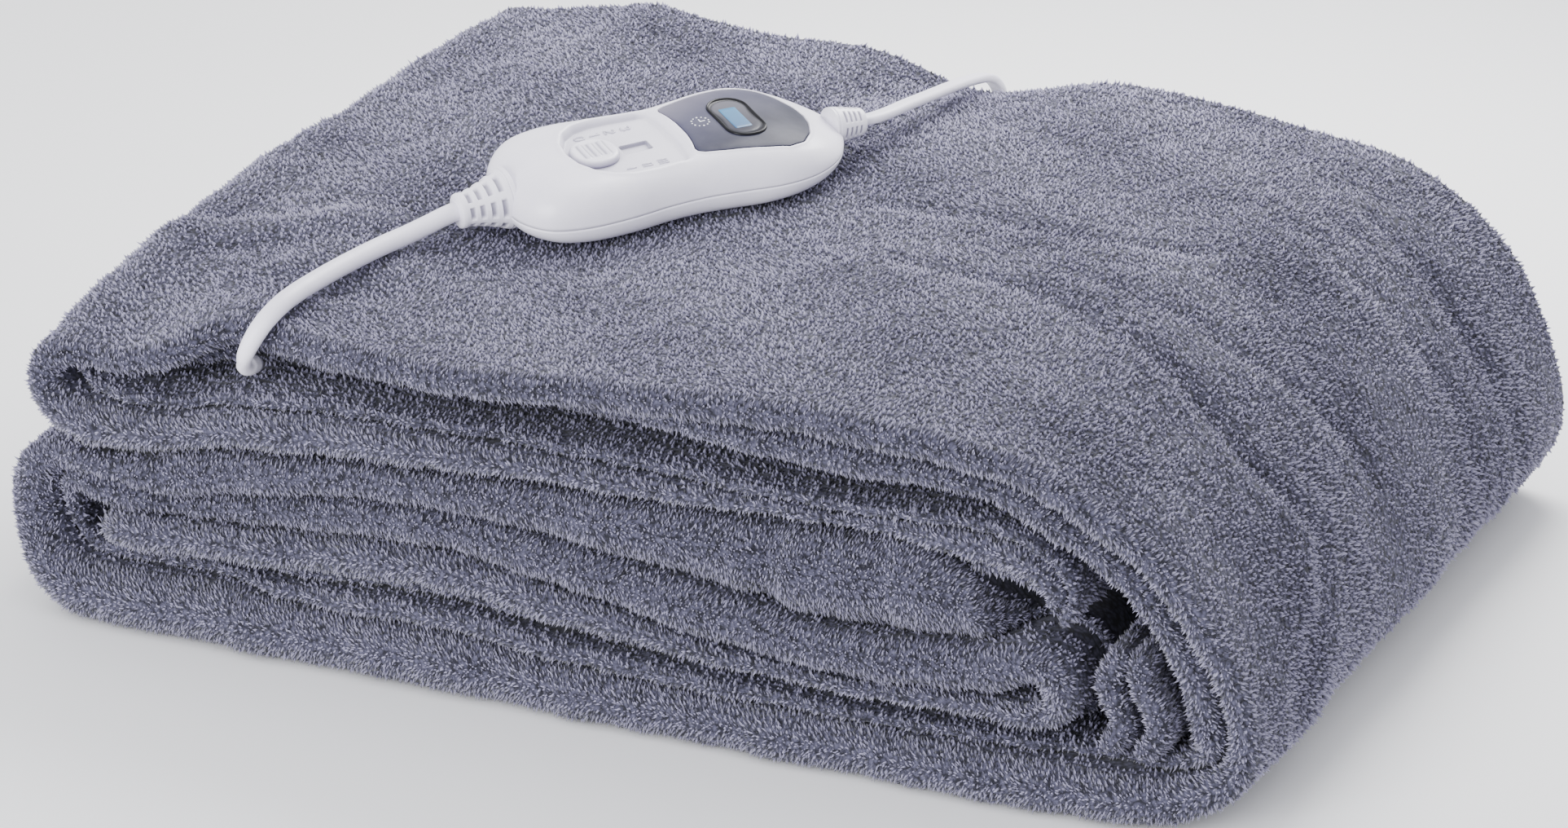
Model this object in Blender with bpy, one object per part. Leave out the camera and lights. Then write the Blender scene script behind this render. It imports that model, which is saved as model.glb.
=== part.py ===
"""Heated blanket, folded, with its hand controller and leads lying on top.

The cloth is one sheet, four plies deep from front to back (two folds at the front face and one at the
back) and then folded across into a stack. Its section in X and Z is the list of FOLD rows below, and the
front-to-back fold is fold_outline(). Sizes are in mm. to_world() moves the middle of the footprint to the
origin and turns them to metres.
X runs along the front face, Y away from the viewer and Z up, with the floor at Z = 0.
"""

import math

import bmesh
import bpy
import numpy as np
from mathutils import Vector

MIDDLE = (2.9, -10.6, 0.0)  # the middle of the stack's footprint, where the origin goes

# ---- the cloth ------------------------------------------------------------------------------------------
FRONT_Y, BACK_Y = -187.0, 166.0  # the front face and the back of the stack
CLOTH_MAX = 8.0  # thickest the cloth gets, pile and wadding together
PLY_GAP = 1.0  # between two plies that lie together
LAYER_GAP = 2.0  # between two turns of the stack

# Heights of the seams between the turns on the front face, at the X of each column.
SEAM_X = (-194, -158, -142, -123, -60, -5, 40, 90, 138)
SEAMS = {
    "top": (106, 115, 121, 122, 124, 128, 131, 133, 130),
    "top_fold": (95, 103, 109, 109, 111, 115, 118, 120, 117),
    "second": (90, 95, 99, 100, 102, 104, 110, 107, 108),
    "inner_top": (89, 90, 94, 97, 100, 100, 99, 98, 100),
    "inner_fold": (84, 85, 89, 92, 95, 95, 94, 93.2, 95.2),
    "crease": (67, 72, 76, 78, 83, 86, 86, 88, 84),
    "ring": (58, 54, 58, 62, 69, 65, 59, 53, 57),
    "ring_in": (44, 46, 47, 49, 53, 46, 39, 35.5, 38),
    "tongue": (32, 33, 34, 34, 37, 33, 31, 29, 28.5),
    "tongue_low": (27, 28, 29, 29, 32, 28, 26, 24, 23),
    "low_fold": (22, 23, 24, 22, 24, 20, 19, 18.5, 18),
    "floor": (-1,) * 9,  # half of LAYER_GAP, so that the lowest ply lies on the floor
}
# Turns between the straight runs: x, z, thickness outside, thickness inside, setback outside, setback inside.
INNER_END = ((170, 69, 7, 4.6, 8, 6), (173.5, 76, 10, 4.6, 5, 6), (172, 84, 11, 4.6, 4, 6),
             (165.5, 90.5, 11.5, 4.6, 4, 6), (154, 94.4, 11.5, 4.6, 4, 6))
UPPER_TURN = ((-203, 84.5, 16, 4.6, 0, 14), (-207.2, 87, 15, 4.6, 0, 14), (-208.4, 90, 14, 4.6, 0, 14),
              (-206.8, 93, 13, 4.6, 0, 14), (-202.5, 94.9, 12, 4.6, 0, 14))
BIG_TURN = ((152, 115.5, 13, 10.5, 1, 4), (166, 111, 13, 11.5, 1, 4), (179, 104, 13, 12, 1, 4),
            (192, 95.5, 13, 12, 1, 4), (204, 84.5, 13, 12, 1, 4), (213.5, 72, 13, 12, 1, 3),
            (220, 60, 13, 12, 1, 3), (225, 48, 13, 14, 1, 2), (228, 37, 13, 15, 1, 2),
            (226.5, 27, 13.5, 12, 1, 4), (214.5, 20, 16, 8, 0, 9), (192, 18.5, 18.5, 5, 0, 14),
            (165, 18.3, 19.3, 4.6, 0, 14))
LOWER_TURN = ((-202, 22.8, 23.8, 4.6, 0, 14), (-208.5, 26, 22.6, 5, 1, 14), (-213, 32, 20.5, 6.5, 2, 12),
              (-214.5, 40, 20.5, 7.5, 3, 9), (-213, 48.5, 18.5, 9, 2, 7), (-209, 54.5, 14, 11, 1, 5),
              (-201.5, 57.8, 10.5, 12, 0, 4))
RIGHT_TURN = ((149, 58.5, 17, 18, 5, 0), (155, 60.2, 5.5, 17, 24, 0), (166, 60.6, 4.6, 15.2, 28, 0),
              (175, 56, 4.6, 14.5, 28, 0), (179, 48, 4.6, 14.5, 28, 0), (179, 40, 4.6, 14.5, 28, 1),
              (174, 32.5, 4.6, 13, 28, 3), (165, 28.8, 4.8, 11, 24, 5), (153, 28.4, 5, 9.6, 20, 5))
TONGUE_END = ((-190, 33, 6, 10.5, 12, 3), (-194.5, 33.5, 5, 8, 13, 7))
# How far the outside and inside folds of each straight run stand back from the front face, at SEAM_X.
SETBACK = {
    "inner": ((0, 0, 0, 0, 0, 1, 3, 6, 5), (10, 10, 10, 9, 9, 9, 8, 7, 7)),
    "upper": ((2, 3, 14, 13, 1, 0, 0, 0, 0), (20, 24, 30, 28, 26, 22, 5, 2, 3)),
    "bottom": ((0,) * 9, (14, 14, 12, 7, 3, 3, 4, 7, 10)),
    "lower": ((0, 0, 0, 0, 0, 0, 2, 1, 1), (4, 5, 5, 3, 2, 2, 1, 0, 0)),
    "tongue": ((12, 12, 12, 12, 12, 12, 12, 14, 18), (3, 1, 1, 2, 3, 3, 3, 4, 5)),
}
# Height of the stack against the height at the front face.
RISE_X = (-220, -190, -150, -100, -50, -5, 50, 100, 150, 200, 240)
RISE_Y = (-187, -150, -110, -60, 0, 60, 120, 160)
RISE = (
    (1.00, 1.00, 1.00, 1.00, 1.00, 1.00, 1.00, 1.00, 1.00, 1.00, 1.00),
    (1.06, 1.06, 1.03, 1.00, 1.00, 1.00, 1.01, 1.00, 1.00, 1.00, 1.00),
    (1.14, 1.14, 1.07, 1.01, 1.00, 1.01, 1.02, 1.01, 1.01, 1.01, 1.01),
    (1.17, 1.17, 1.09, 1.02, 0.992, 1.00, 1.02, 1.02, 1.02, 1.01, 1.01),
    (1.18, 1.19, 1.12, 1.07, 1.03, 1.01, 1.02, 1.02, 1.02, 1.01, 1.01),
    (1.18, 1.20, 1.14, 1.10, 1.07, 1.05, 1.035, 1.02, 1.02, 1.01, 1.01),
    (1.18, 1.21, 1.14, 1.08, 1.06, 1.012, 1.02, 1.01, 0.995, 1.00, 1.02),
    (1.18, 1.22, 1.15, 1.08, 1.065, 0.955, 1.01, 0.985, 0.965, 1.00, 1.02),
)
CORNER_X, CORNER_R, CORNER_IN = 165.0, 65.0, 9.0  # the stack's upright corners turn in from CORNER_X
BACK_TAPER = 5.0  # how much nearer the middle the right-hand turn is at the back
PLY_Y = (-118.0, -30.0, 65.0)  # rows of points that every ply shares
NOSE_ANGLES = tuple(i * math.pi / 6 for i in range(1, 6))

# ---- the controller, in its own frame: p along it, q across it, and height above its underside ----------
VIEW_TURN, TIP, TURN = math.radians(25.2), math.radians(9.0), math.radians(26.0)
BODY_AT = (-54.8, -14.5, 130.0)  # its centre at the underside
BODY = ((-62.5, 0), (-62.6, 7), (-61.8, 14), (-58.8, 20.5), (-53.5, 25.8), (-46, 28.6), (-37, 29.8),
        (-23, 29.4), (-8, 27.6), (6, 27.4), (20, 29), (34, 31), (46, 30), (56, 25.8), (63.5, 19), (69, 8.5),
        (69.3, 0))
BODY_STEPS = 44
PARTING = 9.0
# The crown of the upper shell along it, and how late it rolls over to the parting line: p, height, power.
CROWN = ((-63, 22.8, 14), (-47, 23.4, 12), (-35, 23.4, 10), (-17, 23.0, 8), (0, 22.9, 7), (28, 22.9, 7),
         (38, 22.3, 7), (47, 20.9, 7), (55, 18.8, 7), (62, 16.5, 7), (69.3, 14.5, 7))
PANEL_EDGE = ((7.6, 0), (7.8, 6), (8.2, 12), (8.8, 17.4), (17, 20.1), (25, 21.6), (33, 23.1), (40.5, 23.6),
              (47, 21.2), (52.5, 14.5), (56, 6), (57, 0))
RECESS, RECESS_FLOOR = (-37.0, 4.5, -21.0, 21.0), 19.7
KNOB = (-34.6, -17.0, -9.4, 9.0)
BEZEL = (22.5, 38.2, -15.0, 14.8)
LCD = (26.2, 32.8, -8.6, 6.8)
RELIEF_RIBS, RELIEF_STEPS = 4, 14
LEAD_RELIEF = ((-64.2, 0.5, 11.4), (-79.8, 0, 10.5))
MAINS_RELIEF = ((69.8, -1.5, 11.0), (82, -0.5, 9.2))

# ---- the leads ------------------------------------------------------------------------------------------
LEAD_D, MAINS_D = 7.0, 6.0
LEAD_ROUTE = ((-104.8, -78.4, 134.9), (-107.2, -82.2, 133.9), (-110.3, -87.8, 132.4), (-114, -95.8, 130.9),
              (-117.8, -106, 129.9), (-120.8, -119, 129.2), (-122.9, -132, 128.7), (-124.4, -145, 128.2),
              (-125.2, -156, 127.8), (-125.6, -168, 126.6), (-126.5, -172.3, 124.8), (-128, -175.6, 121.9),
              (-129.9, -177.6, 118), (-132, -178, 113.8), (-134.1, -176.8, 109.8), (-135.8, -174.1, 106.3),
              (-137, -170.2, 103.9), (-137.6, -164.5, 102.8))
MAINS_ROUTE = ((-1.9, 47.9, 144.7), (0.4, 51.5, 145.1), (2.1, 56.8, 145.2), (2.8, 65.1, 144.5),
               (2.9, 74.4, 143.4), (3, 85.1, 141.9), (2.7, 96.1, 140.2), (1.7, 114.2, 137.3),
               (0.2, 131.2, 134.1), (-1.2, 145.5, 131), (-1.6, 157.6, 128.3), (-1.8, 164.5, 125),
               (-1.9, 169.7, 120.2), (-2, 173.3, 113.5), (-2, 174.6, 105.3), (-2, 174.8, 90), (-2, 175, 74),
               (-2, 175, 58), (-2, 175.6, 43),
               (-2, 176.3, 30), (-2.1, 178.3, 20.5), (-2.2, 184, 13), (-2.3, 192, 8.2), (-2.4, 201, 6.3),
               (-2.4, 211, 6.3), (-2.4, 221, 7.2), (-2.4, 231, 8.1))
COIL_AT, COIL_R, COIL_DEPTH, COIL_HALF = (-51.0, 232.0, 8.1), 33.0, 6.6, 12.3
TIE_WIDTH, TIE_CLEAR, TIE_THICK, TIE_STEPS = 6.0, 0.4, 1.0, 12
PLUG_AT, PLUG_SIZE = (-129.0, 258.0, 6.8), (38.0, 35.0, 13.6)  # the middle of its cord end
PLUG_EDGE = 3.0
PIN_APART, PIN_LENGTH, PIN_D = 19.0, 19.0, 4.0
PLUG_ROUTE = ((-57.8, 280.1, 8.1), (-68, 278.4, 7.9), (-80, 275.3, 7.4), (-92, 270.6, 7),
              (-104, 265, 6.8), (-115, 260, 6.8), (-122, 258.2, 6.8), (-128.7, 258, 6.8))

COLOURS = {
    "fleece": (0.22, 0.23, 0.30),
    "white_shell": (0.84, 0.83, 0.88),
    "lower_shell": (0.78, 0.76, 0.82),
    "slate": (0.13, 0.14, 0.24),
    "bezel": (0.02, 0.02, 0.022),
    "lcd": (0.10, 0.36, 0.48),
    "white_cord": (0.80, 0.80, 0.84),
    "pin": (0.62, 0.60, 0.55),
    "tie": (0.08, 0.08, 0.09),
}


def material(name, rough=0.4):
    mat = bpy.data.materials.get(name) or bpy.data.materials.new(name)
    mat.use_nodes = True
    shader = mat.node_tree.nodes["Principled BSDF"]
    shader.inputs["Base Color"].default_value = (*COLOURS[name], 1.0)
    shader.inputs["Roughness"].default_value = rough
    return mat


def to_world(points):
    return (np.asarray(points, float) - MIDDLE) * 0.001


def add_mesh(name, points, faces, mat):
    """An object of these points, in mm, with its faces turned outward."""
    mesh = bpy.data.meshes.new(name)
    mesh.from_pydata([tuple(p) for p in to_world(points)], [], faces)
    bm = bmesh.new()
    bm.from_mesh(mesh)
    bmesh.ops.triangulate(bm, faces=[f for f in bm.faces if len(f.verts) > 4])
    bmesh.ops.recalc_face_normals(bm, faces=bm.faces)
    bm.to_mesh(mesh)
    bm.free()
    mesh.materials.append(mat)
    obj = bpy.data.objects.new(name, mesh)
    bpy.context.scene.collection.objects.link(obj)
    return obj


def hermite(xs, values, slope, x, pick):
    """Cubic pieces through values at xs, each sample of x taken from its own column of values."""
    i = np.clip(np.searchsorted(xs, x) - 1, 0, len(xs) - 2)
    h = xs[i + 1] - xs[i]
    u = np.clip((x - xs[i]) / h, 0, 1)
    return (values[i, pick] * (1 + 2 * u) * (1 - u) ** 2 + slope[i, pick] * h * u * (1 - u) ** 2
            + values[i + 1, pick] * u * u * (3 - 2 * u) - slope[i + 1, pick] * h * u * u * (1 - u))


def rise(x, y):
    """Height of the stack at (x, y) over its height at the front face: RISE, smoothly in X and then in Y."""
    x, y = np.asarray(x, float), np.asarray(y, float)
    xs, ys = np.asarray(RISE_X, float), np.asarray(RISE_Y, float)
    table = np.array(RISE).T
    slope = np.gradient(table, xs, axis=0)
    at_x = np.array([hermite(xs, table, slope, x, np.full(len(x), row)) for row in range(len(ys))])
    return hermite(ys, at_x, np.gradient(at_x, ys, axis=0), y, np.arange(len(x)))


def run(middle, above, below, setback, outside_up, leftward):
    """Rows of one straight run of the stack between two seams."""
    rows = []
    for k, x in enumerate(SEAM_X):
        z = SEAMS[middle][k]
        up, down = SEAMS[above][k] - z, z - SEAMS[below][k]
        out, ins = (up, down) if outside_up else (down, up)
        rows.append((x, z, out, ins, setback[0][k], setback[1][k]))
    return rows[::-1] if leftward else rows


def fold_rows():
    """The whole path of the sheet's section: x, z, thickness outside and inside, setback of each fold."""
    inner = run("inner_fold", "inner_top", "crease", SETBACK["inner"], False, True)
    upper = run("top_fold", "top", "second", SETBACK["upper"], True, False)
    bottom = run("low_fold", "tongue_low", "floor", SETBACK["bottom"], False, True)
    lower = run("ring", "crease", "ring_in", SETBACK["lower"], True, False)
    tongue = run("tongue", "ring_in", "tongue_low", SETBACK["tongue"], False, True)
    rows = [*INNER_END, *inner, *UPPER_TURN, *upper, *BIG_TURN, *bottom, *LOWER_TURN, *lower, *RIGHT_TURN,
            *tongue[:-1], *TONGUE_END]
    return np.array(rows, float)


def fold_outline(out, ins, set_out, set_in, corner):
    """Section of the four plies across Y, as (y, w) with w along the path's outward normal."""
    half = PLY_GAP / 2
    out, ins = out - LAYER_GAP / 2, ins - LAYER_GAP / 2
    t_out = min(CLOTH_MAX, (out - half - PLY_GAP) / 2)
    t_ins = min(CLOTH_MAX, (ins - half - PLY_GAP) / 2)
    plies = []  # centre height, thickness and the fold's half depth at the front
    r_out = (out - half - t_out) / 2
    r_ins = (ins - half - t_ins) / 2
    y_out = FRONT_Y + corner + set_out + r_out * 0.85 + t_out / 2
    y_ins = FRONT_Y + corner + set_in + r_ins * 0.85 + t_ins / 2
    r_back = half + (t_out + t_ins) / 4
    y_back = BACK_Y - corner - r_back - max(t_out, t_ins) / 2
    plies = [(out - t_out / 2, t_out), (half + t_out / 2, t_out), (-half - t_ins / 2, t_ins),
             (-ins + t_ins / 2, t_ins)]

    def straight(ply, side, y0, y1):
        w, t = plies[ply]
        rows = PLY_Y if y1 > y0 else PLY_Y[::-1]
        return [(y, w + side * t / 2) for y in (y0, *rows, y1)]

    def nose(y, mid, r_y, r_w, front):
        return [(y - front * r_y * math.sin(a), mid + r_w * math.cos(a)) for a in NOSE_ANGLES]

    mid_out, mid_ins = (plies[0][0] + plies[1][0]) / 2, (plies[2][0] + plies[3][0]) / 2
    mid_back = (plies[1][0] + plies[2][0]) / 2
    hem = BACK_Y - corner - 3
    first = straight(0, 1, hem, y_out)
    first += nose(y_out, mid_out, r_out * 0.85 + t_out / 2, r_out + t_out / 2, 1)
    first += straight(1, -1, y_out, y_back)
    first += nose(y_back, 0, half * 0.5, half, -1)
    first += straight(2, 1, y_back, y_ins)
    first += nose(y_ins, mid_ins, r_ins * 0.85 + t_ins / 2, r_ins + t_ins / 2, 1)
    first += straight(3, -1, y_ins, hem)
    other = straight(0, -1, hem, y_out)
    other += nose(y_out, mid_out, max(r_out * 0.85 - t_out / 2, 0.2), r_out - t_out / 2, 1)
    other += straight(1, 1, y_out, y_back)
    r_w = (plies[1][0] + t_out / 2 - plies[2][0] + t_ins / 2) / 2
    w_mid = mid_back + (t_out - t_ins) / 4
    other += nose(y_back, w_mid, half * 0.5 + (t_out + t_ins) / 2, r_w, -1)
    other += straight(2, -1, y_back, y_ins)
    other += nose(y_ins, mid_ins, max(r_ins * 0.85 - t_ins / 2, 0.2), r_ins - t_ins / 2, 1)
    other += straight(3, 1, y_ins, hem)
    return np.array(first + other[::-1])


def cloth():
    """The sheet: fold_outline() carried along the rows of fold_rows(), closed at the two hems."""
    rows = fold_rows()
    middle = rows[:, :2]
    step = np.linalg.norm(np.diff(middle, axis=0), axis=1)
    along = np.concatenate([[0], np.cumsum(step)])
    tangent = np.gradient(middle, along, axis=0)
    tangent /= np.linalg.norm(tangent, axis=1)[:, None]
    outward = np.stack([-tangent[:, 1], tangent[:, 0]], axis=1)
    rings = []
    for (x, z, out, ins, set_out, set_in), n in zip(rows, outward):
        corner = CORNER_IN * min(1.0, max(0.0, (abs(x + 5) - CORNER_X) / CORNER_R)) ** 2
        section = fold_outline(out, ins, set_out, set_in, corner)
        px, pz = x + section[:, 1] * n[0], z + section[:, 1] * n[1]
        pz = np.maximum(pz, 0) * rise(px, section[:, 0])
        back = (section[:, 0] - FRONT_Y) / (BACK_Y - FRONT_Y)
        px = px - BACK_TAPER * back * np.clip(px / 200, 0, 1)
        rings.append(np.stack([px, section[:, 0], pz], axis=1))
    count = len(rings[0])
    points = np.concatenate(rings)
    faces = []
    for r in range(len(rings) - 1):
        a, b = r * count, (r + 1) * count
        for k in range(count):
            n = (k + 1) % count
            if rings[r][k][1] < rings[r][n][1]:  # every ply is split along the same diagonal
                faces += [(a + k, a + n, b + n), (a + k, b + n, b + k)]
            else:
                faces += [(a + k, a + n, b + k), (a + n, b + n, b + k)]
    half = count // 2
    for ring in (0, len(rings) - 1):
        a = ring * count
        faces += [(a + k, a + k + 1, a + count - 2 - k, a + count - 1 - k) for k in range(half - 1)]
    return add_mesh("blanket", points, faces, material("fleece", 0.9))


def place(points):
    """Points of the controller's own frame, in the world: it lies askew and tipped to the front."""
    across = Vector((math.cos(VIEW_TURN), math.sin(VIEW_TURN), 0))
    level = Vector((-math.sin(VIEW_TURN), math.cos(VIEW_TURN), 0))
    away = level * math.cos(TIP) + Vector((0, 0, math.sin(TIP)))
    long_axis = across * math.cos(TURN) + away * math.sin(TURN)
    wide_axis = away * math.cos(TURN) - across * math.sin(TURN)
    axes = np.array([long_axis, wide_axis, long_axis.cross(wide_axis)])
    return np.asarray(points, float) @ axes + np.array(BODY_AT)


def body_outline(angle):
    """Distance of the body's parting line from its centre at this angle, from the BODY half widths."""
    station = np.arange(len(BODY), dtype=float)
    dense = np.linspace(0, station[-1], 400)
    p, q = (cubic(station, column, dense)[::-1] for column in np.array(BODY, float).T)
    return np.interp(np.abs(angle), np.arctan2(q, p), np.hypot(p, q))


def cubic(xs, ys, x):
    """Smooth curve through (xs, ys) at x."""
    ys = np.asarray(ys, float)[:, None]
    return hermite(np.asarray(xs, float), ys, np.gradient(ys, xs, axis=0), x, np.zeros(len(x), int))


def body_top(p, q):
    """Height of the upper shell at (p, q): a shallow dome that rolls over to the parting line."""
    reach = np.clip(np.hypot(p, q) / body_outline(np.arctan2(q, p)), 0, 1)
    station, height, power = np.array(CROWN).T
    height, power = cubic(station, height, p), np.interp(p, station, power)
    return PARTING + (height - PARTING) * np.sqrt(1 - reach**power)


def stacked(rings, top_point, bottom_point):
    """Points and faces of a closed solid through these rings, from the bottom up."""
    count = len(rings[0])
    points = np.concatenate([*rings, [bottom_point], [top_point]])
    low, high = len(points) - 2, len(points) - 1
    faces = [((k + 1) % count, k, low) for k in range(count)]
    for r in range(len(rings) - 1):
        a, b = r * count, (r + 1) * count
        faces += [(a + k, a + (k + 1) % count, b + (k + 1) % count, b + k) for k in range(count)]
    last = (len(rings) - 1) * count
    faces += [(last + k, last + (k + 1) % count, high) for k in range(count)]
    return points, faces


def shell(name, lower, mat):
    """The lower or the upper half of the body."""
    angle = np.linspace(-math.pi, math.pi, BODY_STEPS, endpoint=False)
    radius = body_outline(angle)
    ring_at = lambda k, z: np.stack([radius * k * np.cos(angle), radius * k * np.sin(angle), z], axis=1)
    level = np.ones(BODY_STEPS)
    if lower:
        scales = (0.72, 0.86, 0.94, 0.985, 1.0)
        rings = [ring_at(k, level * (PARTING - 0.15) * (1 - math.sqrt(1 - ((k - 0.72) / 0.28) ** 2)))
                 for k in scales]
        points, faces = stacked(rings, (0, 0, PARTING - 0.15), (0, 0, 0))
    else:
        scales = (1.0, 0.975, 0.93, 0.86, 0.74, 0.55, 0.3)
        rings = []
        for k in scales:
            p, q = radius * k * np.cos(angle), radius * k * np.sin(angle)
            rings.append(np.stack([p, q, np.maximum(body_top(p, q), PARTING + 0.15)], axis=1))
        points, faces = stacked(rings, (0, 0, CROWN[4][1]), (0, 0, PARTING + 0.15))
    return add_mesh(name, place(points), faces, mat)


def plate(name, outline, low, high, mat, flat_bottom=False):
    """A plate inside this outline of (p, q), from low to high above the body's dome.

    With flat_bottom its underside is flat, at the height low.
    """
    outline = np.array(outline, float)
    middle = outline.mean(axis=0)
    rings, ends = [], []
    for offset, scales, flat in ((low, (0.5, 1.0), flat_bottom), (high, (1.0, 0.5), False)):
        for k in scales:
            pq = middle + (outline - middle) * k
            base = np.zeros(len(pq)) if flat else body_top(*pq.T)
            rings.append(np.column_stack([pq, base + offset]))
        base = 0.0 if flat else float(body_top(*middle.reshape(2, 1))[0])
        ends.append((*middle, base + offset))
    points, faces = stacked(rings, ends[1], ends[0])
    return add_mesh(name, place(points), faces, mat)


def rounded(p0, p1, q0, q1, radius, steps=4):
    """Outline of a rectangle with round corners, anticlockwise."""
    corners = ((p1 - radius, q1 - radius, 0), (p0 + radius, q1 - radius, 1),
               (p0 + radius, q0 + radius, 2), (p1 - radius, q0 + radius, 3))
    turns = [(c, (quarter + i / steps) * math.pi / 2) for *c, quarter in corners for i in range(steps + 1)]
    return [(c[0] + radius * math.cos(a), c[1] + radius * math.sin(a)) for c, a in turns]


def display_outline(grow=0.0):
    """The dark panel round the display: a hollow left side and a round right end."""
    middle = (27.0, 0.0)
    points = []
    for p, q in (*PANEL_EDGE, *((p, -q) for p, q in PANEL_EDGE[-2:0:-1])):
        way = np.array((p - middle[0], q - middle[1]))
        points.append(tuple(np.array((p, q)) + way / np.linalg.norm(way) * grow))
    return points


def cut(target, cutter):
    """Takes the cutter out of the target."""
    cutter.hide_render = True
    cutter.display_type = "WIRE"
    boolean = target.modifiers.new(cutter.name, "BOOLEAN")
    boolean.operation = "DIFFERENCE"
    boolean.object = cutter


def controller():
    white, grey = material("white_shell", 0.3), material("lower_shell", 0.35)
    shell("controller_lower", True, grey)
    upper = shell("controller_upper", False, white)
    cut(upper, plate("pocket_display", display_outline(0.3), -1.4, 6, white))
    cut(upper, plate("pocket_slider", rounded(*RECESS, 14.0), RECESS_FLOOR, 6, white, True))
    panel = plate("display_panel", display_outline(), -1.1, 0.1, material("slate", 0.35))
    cut(panel, plate("pocket_bezel", rounded(*BEZEL, 6.9), -0.5, 6, white))
    bezel = plate("display_bezel", rounded(*(v + s * 0.3 for v, s in zip(BEZEL, (1, -1, 1, -1))), 6.6),
                  -0.2, 1.0, material("bezel", 0.2))
    cut(bezel, plate("pocket_lcd", rounded(*LCD, 0.5, 1), 0.5, 6, white))
    plate("display_lcd", rounded(*(v + s * 0.3 for v, s in zip(LCD, (1, -1, 1, -1))), 0.3, 1), 0.8, 0.95,
          material("lcd", 0.2))
    knob = plate("slider_knob", rounded(*KNOB, 8.6), RECESS_FLOOR + 0.3, -0.1, white, True)
    for i in (-1, 0, 1):
        p = (KNOB[0] + KNOB[1]) / 2 + i * 3.9
        cut(knob, plate(f"knob_groove_{i + 2}", rounded(p - 0.8, p + 0.8, -5.0, 5.5, 0.7, 2), -0.7, 6, white))


def strain_relief(name, start, end, radii, mat):
    """A tapered relief from start to end, in the controller's frame, with a rib at every other ring."""
    start, end = np.array(start, float), np.array(end, float)
    way = (end - start) / np.linalg.norm(end - start)
    side = np.cross(way, (0, 0, 1))
    side /= np.linalg.norm(side)
    up = np.cross(side, way)
    angle = np.linspace(0, 2 * math.pi, RELIEF_STEPS, endpoint=False)
    rings = []
    for i in range(2 * RELIEF_RIBS):
        along = i / (2 * RELIEF_RIBS - 1)
        r = radii[0] + (radii[1] - radii[0]) * along - (0.5 if i % 2 else 0)
        centre = start + (end - start) * along
        rings.append(centre + r * (np.outer(np.cos(angle), side) + np.outer(np.sin(angle), up)))
    points, faces = stacked(rings, end, start)
    return add_mesh(name, place(points), faces, mat)


def tube(name, route, diameter, mat):
    """A cord along this route, in mm, as a curve with filled ends."""
    curve = bpy.data.curves.new(name, "CURVE")
    curve.dimensions = "3D"
    curve.resolution_u = 1
    curve.bevel_depth = diameter / 2000
    curve.bevel_resolution = 2
    curve.use_fill_caps = True
    spline = curve.splines.new("POLY")
    spline.points.add(len(route) - 1)
    for point, position in zip(spline.points, to_world(route)):
        point.co = (*position, 1)
    obj = bpy.data.objects.new(name, curve)
    obj.data.materials.append(mat)
    bpy.context.scene.collection.objects.link(obj)
    return obj


def ring_solid(name, centre, radius, depth, half_width, mat, steps=(40, 12)):
    """A ring lying on the floor: the outer shape of the coil."""
    rings = []
    for i in range(steps[0]):
        a = 2 * math.pi * i / steps[0]
        for j in range(steps[1]):
            b = 2 * math.pi * j / steps[1]
            r = radius + half_width * math.cos(b)
            rings.append((centre[0] + r * math.cos(a), centre[1] + r * math.sin(a),
                          centre[2] + depth * math.sin(b)))
    faces = []
    for i in range(steps[0]):
        a, b = i * steps[1], (i + 1) % steps[0] * steps[1]
        faces += [(a + j, a + (j + 1) % steps[1], b + (j + 1) % steps[1], b + j) for j in range(steps[1])]
    return add_mesh(name, rings, faces, mat)


def box_solid(name, corner_a, corner_b, mat, bevel):
    """A box from one corner to the other, with its edges rounded."""
    (x0, y0, z0), (x1, y1, z1) = corner_a, corner_b
    points = [(x, y, z) for z in (z0, z1) for x, y in ((x0, y0), (x1, y0), (x1, y1), (x0, y1))]
    faces = [(0, 3, 2, 1), (4, 5, 6, 7), (0, 1, 5, 4), (1, 2, 6, 5), (2, 3, 7, 6), (3, 0, 4, 7)]
    obj = add_mesh(name, points, faces, mat)
    edge = obj.modifiers.new("edges", "BEVEL")
    edge.width = bevel * 0.001
    edge.segments = 2


def leads():
    """The short lead into the cloth and the mains lead, which is wound up behind the stack."""
    cord = material("white_cord", 0.45)
    strain_relief("relief_lead", LEAD_RELIEF[0], LEAD_RELIEF[1], (11.0, 5.4), cord)
    strain_relief("relief_mains", MAINS_RELIEF[0], MAINS_RELIEF[1], (6.5, 4.6), cord)
    tube("heater_lead", LEAD_ROUTE, LEAD_D, cord)
    tube("mains_lead", MAINS_ROUTE, MAINS_D, cord)
    ring_solid("mains_coil", COIL_AT, COIL_R, COIL_DEPTH, COIL_HALF, cord)
    tube("plug_lead", PLUG_ROUTE, MAINS_D, cord)
    px, py, pz = PLUG_AT
    long, wide, thick = PLUG_SIZE
    low = (px - long, py - wide / 2, pz - thick / 2)
    high = (px, py + wide / 2, pz + thick / 2)
    box_solid("plug", low, high, cord, PLUG_EDGE)
    for name, y in (("plug_pin_a", py - PIN_APART / 2), ("plug_pin_b", py + PIN_APART / 2)):
        face = px - long
        tube(name, [(face - 0.3, y, pz), (face - PIN_LENGTH, y, pz)], PIN_D, material("pin", 0.3))
    coil_tie()


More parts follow.
